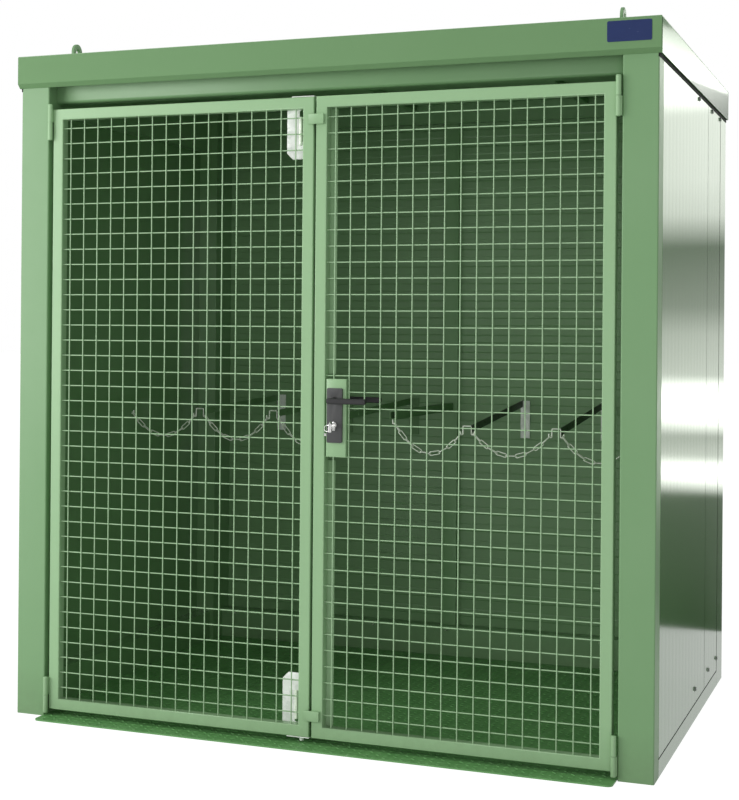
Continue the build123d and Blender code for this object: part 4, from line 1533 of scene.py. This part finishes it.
@dataclass
class Studio:
    """A pale floor and backdrop, soft lamps, and the camera at the photograph's viewing angle."""

    camera_place: Point = (1.7822, -5.3605, 1.2905)
    yaw: float = 22.358
    pitch: float = -0.109
    roll: float = -0.478
    lens: float = 71.94
    sensor: float = 36.0
    shift: Pair = (0.1141, -0.093)
    floor_reach: float = 60.0
    floor_glow: float = 1.32
    floor_share: float = 0.72
    mirrored_share: float = 0.5
    world_strength: float = 0.5
    card_low: Point = (1.12, 1.75, 0.0)
    card_high: Point = (2.4, 1.75, 3.4)
    card_light: float = 3.9
    card_tint: Point = (0.96, 1.0, 0.92)
    # Height in metres and brightness there
    bands: tuple = (
        ((0.0, 0.0), (0.45, 0.02), (0.58, 0.03), (0.64, 0.6), (0.69, 1.0), (0.75, 0.3))
        + ((0.84, 0.2), (0.93, 0.9), (1.02, 1.0), (1.10, 0.3), (1.28, 0.24), (1.40, 0.12))
        + ((1.66, 0.06), (1.80, 0.34), (1.95, 0.4), (2.24, 0.42), (2.34, 0.9), (3.4, 0.9))
    )

    def camera(self) -> None:
        """Create the camera and make it the scene's."""
        yaw, pitch, roll = (math.radians(a) for a in (self.yaw, self.pitch, self.roll))
        flat = math.cos(pitch)
        forward = Vector((-math.sin(yaw) * flat, math.cos(yaw) * flat, -math.sin(pitch)))
        level = Vector((math.cos(yaw), math.sin(yaw), 0.0))
        right = math.cos(roll) * level + math.sin(roll) * forward.cross(level)
        data = bpy.data.cameras.new("photo_camera")
        data.sensor_fit = "VERTICAL"
        data.sensor_height = self.sensor
        data.lens = self.lens
        data.shift_x, data.shift_y = self.shift
        data.clip_end = 200.0
        camera = new_object("photo_camera", data)
        turn = Matrix((right, right.cross(forward), -forward)).transposed().to_4x4()
        camera.matrix_world = Matrix.Translation(Vector(self.camera_place)) @ turn
        bpy.context.scene.camera = camera

    def lamps(self) -> None:
        """Hang the lamps: a large soft key at the front left, a weak fill and a weak top light."""
        for name, place, aim, size, power in (
            ("key_lamp", (-4.5, -4.3, 2.0), (-0.1, -0.4, 1.1), (3.2, 3.0), 190),
            ("fill_lamp", (2.6, -6.4, 1.3), (0.3, 0.0, 0.9), (3.4, 2.2), 50),
            ("top_lamp", (0.0, -2.0, 5.0), (0.0, 0.0, 0.6), (4.0, 2.4), 30),
        ):
            data = bpy.data.lights.new(name, "AREA")
            data.shape = "RECTANGLE"
            data.size, data.size_y = size
            data.energy = power
            lamp = new_object(name, data)
            lamp.location = place
            lamp.rotation_euler = (Vector(aim) - Vector(place)).to_track_quat("-Z", "Y").to_euler()

    def sheet(self, name: str, corners: list[Point], finish: str) -> tuple[Piece, Draft]:
        """Make a flat sheet of one face, with an empty material.

        Args:
            name: Its name.
            corners: Its four corners.
            finish: The material's name.

        Returns:
            The sheet, and its material's tree in the making.
        """
        sheet = new_object(name, mesh_from(name, corners, [], [(0, 1, 2, 3)]))
        material = bpy.data.materials.new(finish)
        sheet.data.materials.append(material)
        return sheet, Draft(emptied(material))

    def floor(self) -> None:
        """Lay a wide pale floor, white to the camera but with the object's shadow."""
        far = self.floor_reach
        corners = [(-far, -far, 0), (far, -far, 0), (far, far, 0), (-far, far, 0)]
        floor, draft = self.sheet("studio_floor", corners, "studio_floor_white")
        matte = draft.add("ShaderNodeBsdfDiffuse", {"Color": linear("d8d8d8")})
        white = {"Color": linear("ffffff"), "Strength": self.floor_glow}
        glow = draft.add("ShaderNodeEmission", white)
        rays = draft.add("ShaderNodeLightPath").outputs
        glossy = {0: rays["Is Glossy Ray"]}
        mirrored = draft.add(MATH, {1: self.mirrored_share}, glossy, operation="MULTIPLY")
        shares = {0: rays["Is Camera Ray"], 2: mirrored}
        seen = draft.add(MATH, {1: self.floor_share}, shares, operation="MULTIPLY_ADD")
        mix = draft.add("ShaderNodeMixShader", links={0: seen, 1: matte, 2: glow})
        draft.add("ShaderNodeOutputMaterial", links={"Surface": mix})

    def card(self) -> None:
        """Stand a banded card behind the right wall, seen only by what mirrors it."""
        (left, y, bottom), (right, _, top) = self.card_low, self.card_high
        corners = [(left, y, bottom), (right, y, bottom), (right, y, top), (left, y, top)]
        card, draft = self.sheet("reflection_card", corners, "reflection_card_bands")
        place = draft.add("ShaderNodeTexCoord").outputs["Object"]
        height = draft.add("ShaderNodeSeparateXYZ", links={0: place}).outputs["Z"]
        limits = {"From Min": bottom, "From Max": top}
        share = draft.add("ShaderNodeMapRange", limits, {"Value": height})
        ramp = draft.add("ShaderNodeValToRGB", links={"Fac": share})
        bands = ramp.color_ramp.elements
        for index, (level, grey) in enumerate(self.bands):
            band = bands[index] if index < 2 else bands.new(1.0)
            band.position = level / top
            band.color = (*[tint * grey for tint in self.card_tint], 1.0)
        glow = draft.add("ShaderNodeEmission", {"Strength": self.card_light}, {"Color": ramp})
        draft.add("ShaderNodeOutputMaterial", links={"Surface": glow})
        card.visible_camera = False
        card.visible_diffuse = False
        card.visible_shadow = False
        card.visible_transmission = False

    def world(self) -> None:
        """Set a plain white world: full to the camera, softer as a light."""
        world = bpy.data.worlds.new("studio_world")
        bpy.context.scene.world = world
        draft = Draft(emptied(world))
        rays = draft.add("ShaderNodeLightPath").outputs
        soft, white = (
            draft.add("ShaderNodeBackground", {"Color": linear("ffffff"), "Strength": strength})
            for strength in (self.world_strength, 1.0)
        )
        ways = {0: rays["Is Camera Ray"], 1: rays["Is Transmission Ray"]}
        seen = draft.add(MATH, links=ways, operation="MAXIMUM")
        mix = draft.add("ShaderNodeMixShader", links={0: seen, 1: soft, 2: white})
        draft.add("ShaderNodeOutputWorld", links={"Surface": mix})

    def build(self) -> None:
        """Set up the studio."""
        self.camera()
        self.lamps()
        self.floor()
        self.card()
        self.world()
        bpy.context.scene.view_settings.view_transform = "Standard"


def main() -> None:
    """Build the container's looks around the frame, in order."""
    logging.basicConfig(level=logging.INFO, format="%(message)s")
    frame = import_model()
    nodes = frame["nodes"]
    Studio().build()
    rods = rods_tree()
    Cabin(nodes, studs_tree(), screws_tree()).build()
    DoorLeaf(Body.LEFT_LEAF, -1, rods).build()
    DoorLeaf(Body.RIGHT_LEAF, 1, rods).build()
    MeetingFittings(nodes).build()
    LockSet(nodes, rods).build()
    CylinderRacks(nodes, rods, links_tree()).build()
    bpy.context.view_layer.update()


if __name__ == "__main__":
    main()
